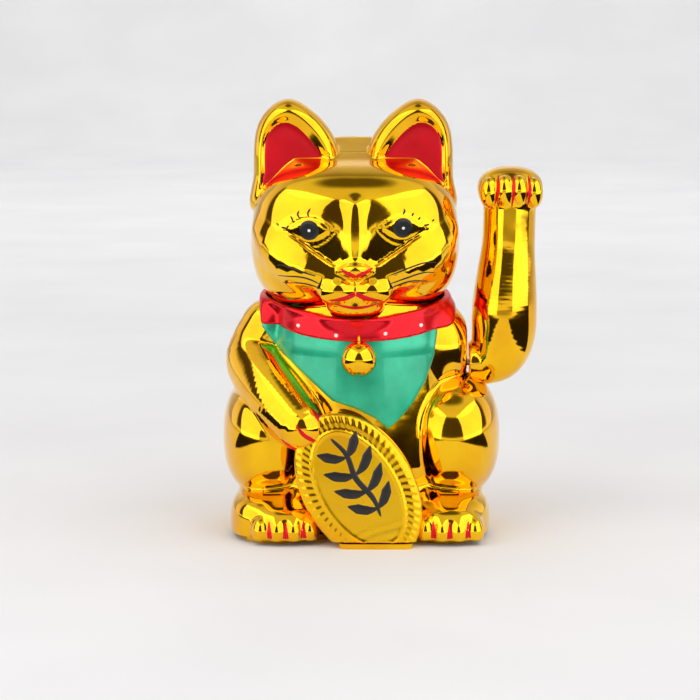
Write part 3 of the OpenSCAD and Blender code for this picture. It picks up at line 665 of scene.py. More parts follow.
def linear(colour):
    """sRGB hex to a linear colour."""
    parts = [int(colour[i:i + 2], 16) / 255 for i in (1, 3, 5)]
    return tuple(v / 12.92 if v <= 0.04045 else ((v + 0.055) / 1.055) ** 2.4 for v in parts) + (1.0,)


def add(tree, kind, sockets=None, **settings):
    """Adds a node with its settings, socket values and links."""
    node = tree.nodes.new("ShaderNode" + kind)
    for name, value in settings.items():
        setattr(node, name, value)
    for name, value in (sockets or {}).items():
        if isinstance(value, bpy.types.NodeSocket):
            tree.links.new(value, node.inputs[name])
        else:
            node.inputs[name].default_value = value
    return node


def blank(name):
    mat = bpy.data.materials.new(name)
    mat.use_nodes = True
    mat.node_tree.nodes.clear()
    return mat, mat.node_tree


def close(tree, shader):
    add(tree, "OutputMaterial", {"Surface": shader.outputs[0]})


def ramp(tree, value, stops, interpolation="LINEAR"):
    """A colour ramp from (position, hex) pairs."""
    node = add(tree, "ValToRGB", {"Fac": value})
    node.color_ramp.interpolation = interpolation
    while len(node.color_ramp.elements) < len(stops):
        node.color_ramp.elements.new(0.5)
    for element, (position, colour) in zip(node.color_ramp.elements, stops):
        element.position = position
        element.color = linear(colour)
    return node.outputs["Color"]


def per_mm(size):
    """Texture scale whose features are about this many millimetres apart."""
    return 1 / (size * MM)


def plated_gold(name="gold vacuum-plated ABS", base="#FFC704", deep="#F4AE00", rough=0.075):
    """Vacuum-metallised plastic under a tinted lacquer: a mirror with faint ripples of the moulding."""
    mat, tree = blank(name)
    where = add(tree, "TexCoord").outputs["Object"]
    # moulding ripple, about 9 mm from crest to crest and a few hundredths deep
    ripple = add(tree, "TexNoise", {"Vector": where, "Scale": per_mm(9), "Detail": 1.5, "Roughness": 0.4})
    # orange peel of the lacquer, 1.2 mm, drawn coarser than the real 0.4 mm so that it shows
    peel = add(tree, "TexNoise", {"Vector": where, "Scale": per_mm(1.2), "Detail": 2.0})
    bump = add(tree, "Bump", {"Height": ripple.outputs["Fac"], "Strength": 0.35, "Distance": 0.00022})
    bump = add(tree, "Bump", {"Height": peel.outputs["Fac"], "Strength": 0.12, "Distance": 0.00002,
                              "Normal": bump.outputs["Normal"]})
    tone = add(tree, "TexNoise", {"Vector": where, "Scale": per_mm(22), "Detail": 3.0})
    colour = ramp(tree, tone.outputs["Fac"], [(0.3, deep), (0.62, base)])
    haze = add(tree, "MapRange", {"Value": tone.outputs["Fac"], "From Min": 0.3, "From Max": 0.7,
                                  "To Min": rough * 0.7, "To Max": rough * 1.3})
    shader = add(tree, "BsdfPrincipled", {"Base Color": colour, "Metallic": 1.0,
                                          "Roughness": haze.outputs["Result"], "Coat Weight": 0.35,
                                          "Coat Roughness": 0.04, "Coat IOR": 1.5,
                                          "Normal": bump.outputs["Normal"]})
    close(tree, shader)
    return mat


def gloss_lacquer(name, low, high, rough=0.12, pearl=0.0, coat=0.8):
    """Sprayed or brushed lacquer: glossy, slightly uneven in depth, with pearl flakes if asked for."""
    mat, tree = blank(name)
    where = add(tree, "TexCoord").outputs["Object"]
    tone = add(tree, "TexNoise", {"Vector": where, "Scale": per_mm(14), "Detail": 4.0})
    colour = ramp(tree, tone.outputs["Fac"], [(0.3, low), (0.7, high)])
    # spray texture, 0.8 mm peel
    peel = add(tree, "TexNoise", {"Vector": where, "Scale": per_mm(0.8), "Detail": 2.0})
    bump = add(tree, "Bump", {"Height": peel.outputs["Fac"], "Strength": 0.25, "Distance": 0.00003})
    sockets = {"Base Color": colour, "Metallic": pearl, "Roughness": rough, "IOR": 1.5,
               "Coat Weight": coat, "Coat Roughness": 0.05, "Normal": bump.outputs["Normal"]}
    if name.startswith("green pearl"):
        # mica flakes, 0.35 mm, each catching the light a little differently
        flakes = add(tree, "TexVoronoi", {"Vector": where, "Scale": per_mm(0.35)})
        bump2 = add(tree, "Bump", {"Height": flakes.outputs["Distance"], "Strength": 0.25,
            "Distance": 0.00004,
                                   "Normal": bump.outputs["Normal"]})
        sockets["Normal"] = bump2.outputs["Normal"]
    shader = add(tree, "BsdfPrincipled", sockets)
    close(tree, shader)
    return mat


def moulded(name, low, high, rough=0.42, grain=0.5):
    """Injection-moulded plastic: semi-matt with a fine spark-eroded grain."""
    mat, tree = blank(name)
    where = add(tree, "TexCoord").outputs["Object"]
    tone = add(tree, "TexNoise", {"Vector": where, "Scale": per_mm(18), "Detail": 3.0})
    colour = ramp(tree, tone.outputs["Fac"], [(0.3, low), (0.7, high)])
    spark = add(tree, "TexNoise", {"Vector": where, "Scale": per_mm(grain), "Detail": 3.0})
    bump = add(tree, "Bump", {"Height": spark.outputs["Fac"], "Strength": 0.3, "Distance": 0.00005})
    close(tree, add(tree, "BsdfPrincipled", {"Base Color": colour, "Roughness": rough, "IOR": 1.5,
                                             "Normal": bump.outputs["Normal"]}))
    return mat


def worked_metal(name, low, high, rough=0.28, lay=0.35, stretch=(1, 1, 12)):
    """Drawn, turned or plated metal: lines of the tool along its length."""
    mat, tree = blank(name)
    where = add(tree, "TexCoord").outputs["Object"]
    along = add(tree, "Mapping", {"Vector": where, "Scale": stretch})
    lines = add(tree, "TexNoise", {"Vector": along.outputs["Vector"], "Scale": per_mm(lay * 6),
        "Detail": 4.0})
    colour = ramp(tree, lines.outputs["Fac"], [(0.25, low), (0.75, high)])
    haze = add(tree, "MapRange", {"Value": lines.outputs["Fac"], "To Min": rough * 0.7,
        "To Max": rough * 1.4})
    bump = add(tree, "Bump", {"Height": lines.outputs["Fac"], "Strength": 0.2, "Distance": 0.00003})
    close(tree, add(tree, "BsdfPrincipled", {"Base Color": colour, "Metallic": 1.0,
                                             "Roughness": haze.outputs["Result"],
                                             "Normal": bump.outputs["Normal"]}))
    return mat


def wound_copper():
    """Enamelled copper wire, wound in layers: fine rings round the bobbin, 0.3 mm drawn for 0.1 mm wire."""
    mat, tree = blank("copper wire, enamelled and wound")
    where = add(tree, "TexCoord").outputs["Object"]
    turns = add(tree, "TexWave", {"Vector": where, "Scale": per_mm(0.9), "Distortion": 0.6, "Detail": 1.0},
                wave_type="BANDS", bands_direction="X")
    colour = ramp(tree, turns.outputs["Fac"], [(0.1, "#6E2A0E"), (0.8, "#C8672C")])
    bump = add(tree, "Bump", {"Height": turns.outputs["Fac"], "Strength": 0.6, "Distance": 0.0001})
    close(tree, add(tree, "BsdfPrincipled", {"Base Color": colour, "Metallic": 0.85, "Roughness": 0.3,
                                             "Coat Weight": 0.5, "Normal": bump.outputs["Normal"]}))
    return mat


def solder_mask():
    """Glass-epoxy board under green solder mask, the weave showing faintly at 0.6 mm."""
    mat, tree = blank("circuit board, green solder mask")
    where = add(tree, "TexCoord").outputs["Object"]
    weave = add(tree, "TexBrick", {"Vector": where, "Scale": per_mm(1.2), "Color1": linear("#12603A"),
                                   "Color2": linear("#176E44"), "Mortar": linear("#0E4E30"),
                                   "Mortar Size": 0.03})
    bump = add(tree, "Bump", {"Height": weave.outputs["Fac"], "Strength": 0.2, "Distance": 0.00003})
    close(tree, add(tree, "BsdfPrincipled", {"Base Color": weave.outputs["Color"], "Roughness": 0.3,
        "IOR": 1.5,
                                             "Normal": bump.outputs["Normal"]}))
    return mat


def cell_wrap():
    """Heat-shrunk film round the cell: dark with a lighter band towards its raised end, no print."""
    mat, tree = blank("PVC film on the cell")
    where = add(tree, "TexCoord").outputs["Object"]
    low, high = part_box("aa_cell")
    part = add(tree, "SeparateXYZ", {"Vector": where})
    axis = max(range(3), key=lambda i: high[i] - low[i])
    share = add(tree, "MapRange", {"Value": part.outputs[axis], "From Min": low[axis],
        "From Max": high[axis]})
    colour = ramp(tree, share.outputs["Result"], [(0.0, "#20262E"), (0.7, "#2C333D"), (0.72, "#C88A3C"),
                                                  (0.96, "#D59A4A")], "CONSTANT")
    film = add(tree, "TexNoise", {"Vector": where, "Scale": per_mm(3), "Detail": 2.0})
    bump = add(tree, "Bump", {"Height": film.outputs["Fac"], "Strength": 0.15, "Distance": 0.00005})
    close(tree, add(tree, "BsdfPrincipled", {"Base Color": colour, "Roughness": 0.25, "IOR": 1.53,
                                             "Coat Weight": 0.5, "Normal": bump.outputs["Normal"]}))
    return mat


def paper_floor(colour):
    """Matt coated paper sweep: a faint tooth, 0.6 mm."""
    mat, tree = blank("paper sweep")
    where = add(tree, "TexCoord").outputs["Object"]
    tooth = add(tree, "TexNoise", {"Vector": where, "Scale": per_mm(0.6), "Detail": 2.0})
    shade = add(tree, "TexNoise", {"Vector": where, "Scale": per_mm(160), "Detail": 2.0})
    tint = ramp(tree, shade.outputs["Fac"], [(0.2, colour), (0.8, "#F2F2F3")])
    bump = add(tree, "Bump", {"Height": tooth.outputs["Fac"], "Strength": 0.1, "Distance": 0.00005})
    close(tree, add(tree, "BsdfPrincipled", {"Base Color": tint, "Roughness": 0.75, "IOR": 1.45,
                                             "Normal": bump.outputs["Normal"]}))
    return mat


MATERIALS = {}


def finish_of(kind):
    """The material of one finish, made when it is first asked for."""
    makers = {
        "gold": plated_gold,
        "coin": lambda: plated_gold("gold vacuum-plated coin", "#FFC704", "#F6B400", 0.24),
        "red": lambda: gloss_lacquer("red brushed lacquer over plating", "#D8081A", "#F00A22", 0.3, 0.7,
            0.15),
        "collar": lambda: gloss_lacquer("red sprayed lacquer over plating", "#D60618", "#EE0A22", 0.26,
            0.75, 0.2),
        "green": lambda: gloss_lacquer("green pearl lacquer", "#17A67C", "#35C79A", 0.3, 0.55, 0.5),
        "green line": lambda: gloss_lacquer("green line lacquer", "#0C7F4E", "#0F9A5C", 0.2, 0.3),
        "black": lambda: gloss_lacquer("black hand-painted enamel", "#120E0B", "#1E1814", 0.4, 0.0, 0.05),
        "white": lambda: gloss_lacquer("white hand-painted enamel", "#E9E6E0", "#FAF8F4", 0.2),
        "iris": lambda: gloss_lacquer("black gloss enamel", "#0C0B0C", "#161416", 0.3, 0.0, 0.12),
    }
    if kind not in MATERIALS:
        MATERIALS[kind] = makers[kind]()
    return MATERIALS[kind]


# ---------- what a user may change ----------

def length_prop(name, text, value, low=0.0, high=0.5):
    return bpy.props.FloatProperty(name=name, description=text, default=value, min=low, max=high,
                                   unit="LENGTH", subtype="DISTANCE", precision=5)


class CatShape(bpy.types.PropertyGroup):
    mesh_step: length_prop("Mesh step", "Distance between neighbouring vertices of the shells", 0.001,
        0.0004, 0.003)
    wall: length_prop("Wall", "Thickness of the moulded shells", 0.0018, 0.0008, 0.003)
    seam: length_prop("Seam groove", "Depth of the fine groove where two shells meet", 0.00018, 0.0, 0.0006)
    collar_width: length_prop("Collar width", "Height of the red collar band", 0.0105, 0.006, 0.014)
    bell_size: length_prop("Bell diameter", "Diameter of the bell on the collar", 0.0162, 0.01, 0.022)
    coin_rib: length_prop("Coin rib spacing", "Distance between the ribs round the coin's rim", 0.0034,
        0.002, 0.006)


class CatPaint(bpy.types.PropertyGroup):
    film: length_prop("Paint film", "How far hand-painted details stand off the plating", 0.00014, 0.00004,
        0.0004)
    eye_size: length_prop("Iris diameter", "Diameter of the painted irises", 0.0091, 0.004, 0.014)


class CatStage(bpy.types.PropertyGroup):
    softbox: length_prop("Softbox distance", "How far the two softboxes stand from the figurine", 1.1, 0.5,
        3.0)
    strength: bpy.props.FloatProperty(name="Softbox power", description="Power of each softbox",
                                      default=9.4, min=0, unit="POWER")
    lens: bpy.props.FloatProperty(name="Lens", description="Focal length of the camera",
                                  default=116.5, min=20, unit="CAMERA")
    paper: bpy.props.StringProperty(name="Paper colour", description="sRGB hex colour of the sweep",
                                    default="#E9E9EB")


# ---------- the pieces ----------

FIGURE_BOX = (-68, -60, 0.5), (72, 54, 202)
ARM_BOX = (49, -18, 60), (90, 18, 174)


def groove_edge(obj, y, side, depth):
    """Rolls a shell's edge in along the seam plane, so that a fine line shows where it meets its partner."""
    bm = bmesh.new()
    bm.from_mesh(obj.data)
    bmesh.ops.bisect_plane(bm, geom=bm.verts[:] + bm.edges[:] + bm.faces[:], dist=1e-6,
                           plane_co=Vector((0, y + side * 0.3, 0)) * MM, plane_no=Vector((0, 1, 0)))
    bm.normal_update()
    for v in bm.verts:
        if abs(v.co.y / MM - y) < 1e-3 and v.is_boundary:
            n = v.normal.copy()
            n.y = 0
            if n.length > 1e-6:
                v.co -= n.normalized() * depth
    bm.to_mesh(obj.data)
    bm.free()
    obj.data.shade_smooth()


def halves(verts, quads, y, names, wall, depth, bottom=None):
    """Splits a closed surface along y into a front and a rear shell with real walls."""
    out = []
    for name, side in zip(names, (-1, 1)):
        obj = new_mesh(name, verts, quads)
        trim(obj, (0, y, 0), (0, -side, 0))
        groove_edge(obj, y, side, depth)
        if bottom is not None:
            trim(obj, (0, 0, bottom), (0, 0, -1))
        thicken(obj, wall)
        out.append(obj)
    return out


class CAT_OT_shells(bpy.types.Operator):
    """Front and rear shell of the sitting cat, with its wall and seam"""
    bl_idname = "cat.shells"
    bl_label = "Body shells"

    def execute(self, context):
        look = context.scene.cat_shape
        step = look.mesh_step / MM * 1.0
        verts, quads = surface(figure, *FIGURE_BOX, step)
        verts = settle(figure, verts, quads, 3)
        front, rear = halves(verts, quads, SEAM_Y, ("front_shell_plated", "rear_shell_plated"),
                             look.wall / MM, look.seam, BASE_Z)
        settle_in(front, finish_of("gold"), "figure", "gold_plate", "front_shell")
        settle_in(rear, finish_of("gold"), "figure", "gold_plate", "rear_shell")
        return {"FINISHED"}


class CAT_OT_arm(bpy.types.Operator):
    """Front and rear shell of the waving arm"""
    bl_idname = "cat.arm"
    bl_label = "Waving arm"

    def execute(self, context):
        look = context.scene.cat_shape
        step = look.mesh_step / MM * 0.8
        verts, quads = surface(waving_arm, *ARM_BOX, step)
        verts = settle(waving_arm, verts, quads)
        front, rear = halves(verts, quads, 0, ("arm_front_plated", "arm_rear_plated"),
                             look.wall / MM - 0.3, look.seam * 0.8)
        settle_in(front, finish_of("gold"), "waving_arm", "gold_plate", "arm_front_shell")
        settle_in(rear, finish_of("gold"), "waving_arm", "gold_plate", "arm_rear_shell")
        claws = Brush(waving_arm)
        for line in ([(63.6, 165.4), (63.4, 158.5), (62.0, 150.6)], [(70.7, 165.4), (70.5, 158.5), (69.8,
            150.2)],
                     [(77.5, 165.2), (78.0, 158.5), (77.1, 150.0)]):
            claws.stroke(line, (0.3, 1.6, 2.0, 1.5, 0.3))
        claws.done("arm_claw_lines", finish_of("red"), "waving_arm")
        return {"FINISHED"}


COLLAR_TILT = math.radians(11)
COLLAR_MID = (HEAD_X / 2, -4.0, 104.0)


def collar_height(p):
    """How far a point lies above the collar's middle plane."""
    return (COLLAR_MID[1] - p[1]) * math.sin(COLLAR_TILT) + (p[2] - COLLAR_MID[2]) * math.cos(COLLAR_TILT)


def neck(p):
    """The neck the collar is wrapped round, its crease filled."""
    chin = join(torso(p), left_arm(p), 2.0)
    return join(chin, head(p), 9)


def collar(p, width):
    skin = neck(p)
    round_neck = blob((p[0], 0 * p[0], p[1]), (HEAD_X / 2, 0, -4), (45.8, 1, 43.2), 2.1)
    band = meet(meet(skin - 1.5, round_neck, 1.2), np.abs(collar_height(p)) - width / 2, 1.4)
    return np.maximum(band, -(skin + 0.5))


BIB = [(-46, 108), (-45.6, 96), (-40, 88), (-30, 79.5), (-20, 71), (-12.7, 64.7), (-2, 61.5), (7, 56.8),
    (12.7, 51.8),
       (18, 56), (24, 62.5), (30, 72), (34, 83), (35.6, 94), (36, 108)]


def bib(p):
    x, y, z = p
    skin = figure(p)
    edge = polygon_distance(x, z, BIB)
    cloth = meet(skin - 0.95, edge, 0.9)
    d = np.maximum(np.maximum(cloth, -(skin + 0.5)), y + 8)
    return np.maximum(d, collar_height(p) - 2)


def lift_out(field, name, low, high, step, rounds=2):
    """A small piece meshed straight from its distance field."""
    verts, quads = surface(field, low, high, step)
    return new_mesh(name, settle(field, verts, quads, rounds, 0.3), quads)


class CAT_OT_collar(bpy.types.Operator):
    """Red collar with its white dots, and the green bib that hangs from it"""
    bl_idname = "cat.collar"
    bl_label = "Collar and bib"

    def execute(self, context):
        wrap = partial(collar, width=context.scene.cat_shape.collar_width / MM)
        band = lift_out(wrap, "collar_band", (-56, -52, 82), (54, 48, 124), 0.75, 1)
        settle_in(band, finish_of("collar"), "figure", "red_lacquer", "collar")
        dots = Brush(wrap, lift=0.3)
        for x, z in ((-28.2, 97.8), (-10.8, 94.6), (11.5, 95.4), (27.9, 98.0)):
            dots.disc(x, z, 0.85, rings=4, sides=16)
        dots.done("collar_dots", finish_of("white"))
        cloth = lift_out(bib, "bib_raised", (-48, -50, 48), (38, -6, 108), 0.7, 1)
        settle_in(cloth, finish_of("green"), "figure", "green_lacquer", "bib")
        return {"FINISHED"}


def bell_field(p, r):
    x, y, z = p
    q = (x - BELL_X, y - BELL_Y, z - BELL_Z)
    away = np.sqrt(q[0] ** 2 + q[1] ** 2 + q[2] ** 2)
    d = away - r
    slot = np.maximum(np.maximum(np.abs(q[0]) - 0.7, q[2] + 5.0), -(away - r + 1.3))
    ring = np.sqrt((np.sqrt(q[1] ** 2 + (q[2] - r - 0.6) ** 2) - 1.9) ** 2 + q[0] ** 2) - 0.55
    return join(cut(d, slot, 0.3), ring, 0.4)


BELL_X, BELL_Y, BELL_Z = -0.5, -44.0, 84.5


class CAT_OT_bell(bpy.types.Operator):
    """Jingle bell with its ring and its slot underneath"""
    bl_idname = "cat.bell"
    bl_label = "Bell"

    def execute(self, context):
        shape = partial(bell_field, r=context.scene.cat_shape.bell_size / MM / 2)
        ball = lift_out(shape, "bell_plated", (-10, -54, 74.5), (9, -34, 97.0), 0.4, 1)
        settle_in(ball, finish_of("gold"), "figure", "gold_plate", "bell")
        return {"FINISHED"}


# The coin's own frame: u across, v up its lean, w out of its face; v and w lean back from the foot.
COIN_LEAN, COIN_TILT = math.radians(5), math.radians(32)
COIN_FOOT_Y, COIN_MID = -57.0, (-0.7, 27.2)
COIN_R = (25.0, 37.0)
COIN_T = 12.0


def coin_frame(p):
    x, y, z = p
    v = z * math.cos(COIN_LEAN) + (y - COIN_FOOT_Y) * math.sin(COIN_LEAN)
    w = z * math.sin(COIN_LEAN) - (y - COIN_FOOT_Y) * math.cos(COIN_LEAN)
    du, dv = x - COIN_MID[0], v - COIN_MID[1]
    a = du * math.cos(COIN_TILT) + dv * math.sin(COIN_TILT)
    b = -du * math.sin(COIN_TILT) + dv * math.cos(COIN_TILT)
    return a, b, w


def coin_point(a, b, w=0.0):
    """From the coin's own frame (millimetres) to a point in space."""
    du = a * math.cos(COIN_TILT) - b * math.sin(COIN_TILT)
    dv = a * math.sin(COIN_TILT) + b * math.cos(COIN_TILT)
    u, v = COIN_MID[0] + du, COIN_MID[1] + dv
    return (u, COIN_FOOT_Y + v * math.sin(COIN_LEAN) - w * math.cos(COIN_LEAN),
            v * math.cos(COIN_LEAN) + w * math.sin(COIN_LEAN))


def coin(p, ribs_round):
    a, b, w = coin_frame(p)
    edge = blob((a, np.zeros_like(a), b), (0, 0, 0), (COIN_R[0], 1, COIN_R[1]), 2.0)
    around = np.arctan2(b / COIN_R[1], a / COIN_R[0])
    ribs = np.cos(around * ribs_round)
    field_edge = step_up(edge, -8.4, -7.4)
    band = field_edge * (0.4 + 0.11 * (1 - ribs) * step_up(edge, -7.8, -6.4))
    band = band + 1.0 * step_up(edge, -4.5, 0.0)
    bead = 0.3 * np.exp(-((edge + 8.2) / 0.8) ** 2)
    low = step_up(-b - 0.25 * a, 17, 21) * (1 - field_edge)
    wave = 0.03 * low * np.sin((b + 0.12 * a) * 2 * math.pi / 4.2 + 1.4 * np.sin(a / 5))
    face = w + band - bead - wave
    rim = edge + 0.2 * (1 + ribs) * step_up(w, -3.5, -0.6)
    d = meet(face, rim, 1.6)
    return np.maximum(np.maximum(d, -(w + COIN_T)), BASE_Z - p[2])


class CAT_OT_coin(bpy.types.Operator):
    """The oval coin with its ribbed rim and a painted leaf sprig"""
    bl_idname = "cat.coin"
    bl_label = "Coin"

    def execute(self, context):
        pitch = context.scene.cat_shape.coin_rib / MM
        shape = partial(coin, ribs_round=round(2 * math.pi * 31 / pitch))
        plate = lift_out(shape, "coin_plated", (-33, -60, 1), (33, -30, 65), 0.5, 1)
        settle_in(plate, finish_of("coin"), "figure", "gold_plate", "koban")
        out = coin_point(0, 0, 1)
        mid = coin_point(0, 0, 0)
        push = tuple(mid[i] - out[i] for i in range(3))
        sprig = Brush(shape, push=push, lift=0.45, place=lambda a, b: coin_point(a, b, 6))
        sprig.stroke([(1.5, 26), (3.6, 16), (1.6, 5), (3.4, -7), (2.0, -16)], (1.4, 2.4, 2.8, 2.6, 1.2))
        for b, size in ((18, 8.5), (9, 10.5), (0, 10.5), (-9, 9.0)):
            for s in (-1, 1):
                sprig.stroke([(2.6, b - 3.0), (2.6 + s * size * 0.55, b - 0.8), (2.6 + s * (size + 2.0),
                    b + 5.0)],
                             (1.2, 4.2, 4.6, 0.6))
        sprig.done("coin_sprig", finish_of("black"))
        return {"FINISHED"}


class CAT_OT_face(bpy.types.Operator):
    """Painted eyes, lashes, whiskers, nose, mouth, ear linings and claw lines"""
    bl_idname = "cat.face"
    bl_label = "Painted details"

    def execute(self, context):
        look = context.scene.cat_paint
        film = look.film / MM
        iris = Brush(figure, lift=film * 2)
        for x, z in EYES:
            iris.disc(x, z, look.eye_size / MM / 2)
        iris.done("irises", finish_of("iris"))
        spark = Brush(figure, lift=film * 2 + 0.12)
        for x, z in EYES:
            spark.disc(x + 0.1, z - 0.1, 0.8, rings=4, sides=18)
        spark.done("eye_lights", finish_of("white"))
        fine = Brush(figure, lift=film)
        lashes = ([(-22.2, 152.3), (-23.4, 149.9), (-22.8, 148.1)], [(-27.3, 151.1), (-28.0, 149.2),
            (-26.8, 147.3)],
                  [(-31.3, 148.7), (-29.9, 145.9)], [(-35.7, 143.4), (-32.5, 142.7)], [(-37.7, 145.1),
                      (-36.5, 143.8)],
                  [(19.6, 152.1), (20.0, 150.9), (19.2, 149.2)], [(24.1, 150.1), (23.2, 148.4)],
                  [(27.2, 148.1), (26.1, 146.7)], [(31.4, 144.6), (28.5, 144.1)], [(33.6, 146.7), (32.4,
                      145.8)])
        for line in lashes:
            fine.stroke(line, (0.45, 1.05, 0.9, 0.4), 5)
        whiskers = ([(-37.7, 126.3), (-33.8, 126.2), (-19.8, 122.0)], [(-37.4, 121.3), (-25.6, 121.3),
            (-16.4, 117.8)],
                    [(-35.0, 117.8), (-25.6, 118.4), (-16.4, 116.0)], [(34.6, 127.6), (27.5, 127.4), (13.5,
                        122.5)],
                    [(34.3, 122.5), (27.5, 123.0), (13.0, 118.4)], [(31.9, 118.5), (22.7, 119.4), (12.3,
                        116.0)])
        for line in whiskers:
            fine.stroke(line, (0.35, 0.8, 0.9, 0.45), 5)
        fine.done("lashes_and_whiskers", finish_of("black"))
        red = Brush(figure, lift=film)
        red.stroke([(-8.7, 125.7), (-5.4, 123.6), (-1.9, 122.0)], (0.7, 1.8, 2.2, 1.8))
        red.stroke([(5.8, 125.9), (1.8, 123.7), (-1.9, 122.0)], (0.7, 1.8, 2.2, 1.8))
        red.stroke([(-14.0, 111.1), (-6.8, 112.3), (-1.9, 114.3)], (0.7, 2.3, 2.7))
        red.stroke([(9.9, 111.1), (2.9, 112.3), (-1.9, 114.3)], (0.7, 2.3, 2.7))
        red.stroke([(-12.3, 109.9), (-7, 108.4), (-1.9, 107.7), (3.5, 108.4), (8.2, 109.9)], (0.5, 1.3,
            1.5, 1.3, 0.5))
        for x in (-41.1, -33.6, -25.6, 33.1, 40.6, 48.9):
            red.stroke([(x, 11.5), (x, 7.5), (x, 3.6)], (0.5, 2.3, 3.0), 7)
        for line in ([(-21.4, 62.5), (-19.0, 59.2), (-16.4, 56.4)], [(-28.8, 56.6), (-25.0, 51.8), (-18.8,
            47.6)],
                     [(-35.8, 49.2), (-31.5, 45.8), (-26.2, 43.0)]):
            red.stroke(line, (0.4, 2.0, 2.2, 1.0), 7)
        red.done("nose_mouth_and_claw_lines", finish_of("red"))
        lining = Brush(None, start=EAR_FLOOR_Y + 0.3, lift=0.35)
        for s in (-1, 1):
            edge = [(EAR_X + s * u, z) for u, z in smooth_loop(EAR_FLOOR, 96)]
            lining.patch(edge, 16, (EAR_X + s * 30, 172))
        lining.done("ear_linings", finish_of("red"))
        return {"FINISHED"}


class CAT_OT_works(bpy.types.Operator):
    """Finishes for the base, the battery door and the inner works"""
    bl_idname = "cat.works"
    bl_label = "Base and works"

    def execute(self, context):
        looks = {
            "gold_plate": finish_of("gold"),
            "steel": worked_metal("steel, drawn and zinc-plated", "#A9ADB1", "#D3D6D9", 0.26),
            "black_plastic": moulded("ABS, moulded black", "#151617", "#24262A", 0.4),
            "white_plastic": moulded("acetal, moulded white", "#DAD8D2", "#EFEDE8", 0.38),
            "ivory_plastic": moulded("ABS, moulded ivory", "#D5C9A6", "#E6DCBD", 0.42),
            "cell_jacket": cell_wrap(),
            "board_green": solder_mask(),
            "copper_wire": wound_copper(),
            "blue_sleeve": gloss_lacquer("PVC sleeve, blue", "#123E8C", "#1C56B4", 0.3, 0.0, 0.3),
            "red_insulation": gloss_lacquer("PVC insulation, red", "#8E0E12", "#B5171C", 0.38, 0.0, 0.15),
            "black_insulation": gloss_lacquer("PVC insulation, black", "#0F0F10", "#202124", 0.4, 0.0, 0.15),
            "magnet_nickel": worked_metal("nickel plate on a sintered magnet", "#B9B4A8", "#DEDACF", 0.16),
        }
        slots = {part["node"]: part["material_slot"] for part in frame["record"]["subparts"]}
        for name, obj in frame["nodes"].items():
            if obj.hide_render:
                continue
            kind = slots.get(name, "steel")
            obj.data.materials.clear()
            obj.data.materials.append(looks.get(kind, looks["steel"]))
        return {"FINISHED"}



class CAT_OT_stage(bpy.types.Operator):
    """Paper sweep, studio light and camera"""
    bl_idname = "cat.stage"
    bl_label = "Stage"

    def execute(self, context):
        look = context.scene.cat_stage
        low, high = CAD_BOX
        floor = new_mesh("sweep", *sweep_grid())
        floor.data.materials.append(paper_floor(look.paper))
        studio_sky(context.scene)
        target = Vector((0, 0, (low[2] + high[2]) / 2))
        for side, name in ((-1, "softbox_left"), (1, "softbox_right")):
            light = bpy.data.lights.new(name, "AREA")
            light.shape = "RECTANGLE"
            light.size, light.size_y = 1.45, 1.35
            light.energy = look.strength
            box = bpy.data.objects.new(name, light)
            around, up = math.radians(57), math.radians(27)
            box.location = target + look.softbox * Vector((side * math.sin(around) * math.cos(up),
                                                           -math.cos(around) * math.cos(up), math.sin(up)))
            box.rotation_euler = (target - box.location).to_track_quat("-Z", "Y").to_euler()
            box.visible_camera = False
            context.scene.collection.objects.link(box)
        wash = bpy.data.lights.new("wall_wash", "AREA")
        wash.shape, wash.size, wash.size_y, wash.energy = "RECTANGLE", 3.0, 1.0, look.strength * 5
        washer = bpy.data.objects.new("wall_wash", wash)
        washer.location = (0, 1.2, 2.3)
        washer.rotation_euler = (Vector((0, 3.3, 0.7)) - washer.location).to_track_quat("-Z", "Y").to_euler()
        washer.visible_camera = washer.visible_glossy = False
        context.scene.collection.objects.link(washer)
        black_cards()
        lens = bpy.data.cameras.new("camera")
        lens.lens, lens.sensor_width = look.lens, 36
        lens.clip_start, lens.clip_end = 0.05, 40
        lens.shift_x = -0.0143
        camera = bpy.data.objects.new("camera", lens)
        camera.location = (0, -1.0526, 0.2368)
        camera.rotation_euler = (math.radians(90 - 8.35), 0, 0)
        context.scene.collection.objects.link(camera)
        context.scene.camera = camera
        context.scene.view_settings.view_transform = "Standard"
        return {"FINISHED"}


def black_cards():
    """Black cards lying beside a pale strip of table: only the polished plating shows them."""
    mat, tree = blank("black flock card")
    where = add(tree, "TexCoord").outputs["Object"]
    nap = add(tree, "TexNoise", {"Vector": where, "Scale": per_mm(4), "Detail": 2.0})
    close(tree, add(tree, "BsdfDiffuse", {"Color": ramp(tree, nap.outputs["Fac"],
                                                        [(0.3, "#1E1A17"), (0.7, "#2A2622")])}))
    verts, faces = [], []
    for x0, x1, y0, y1 in ((-1500, -220, -800, 40), (220, 1500, -800, 40)):
        n = len(verts)
        verts += [(x0, y0, 0.6), (x1, y0, 0.6), (x1, y1, 0.6), (x0, y1, 0.6)]
        faces.append((n, n + 1, n + 2, n + 3))
    cards = new_mesh("black_cards", verts, faces)
    cards.data.materials.append(mat)
    cards.visible_camera = cards.visible_diffuse = cards.visible_shadow = cards.visible_transmission = False


def sweep_grid():
    """A wide paper floor that curves up into a wall far behind, in millimetres."""
    profile = [(-4000, 0), (-1500, 0), (-400, 0), (0, 0), (400, 0), (1500, 0), (2600, 0)]
    for i in range(1, 13):
        a = math.radians(90 * i / 12)
        profile.append((2600 + 900 * math.sin(a), 900 - 900 * math.cos(a)))
    profile.append((3500, 3200))
    xs = np.linspace(-4000, 4000, 9)
    verts = [(x, y, z) for y, z in profile for x in xs]
    n = len(xs)
    faces = [(r * n + i, r * n + i + 1, (r + 1) * n + i + 1, (r + 1) * n + i)
             for r in range(len(profile) - 1) for i in range(n - 1)]
    return verts, faces


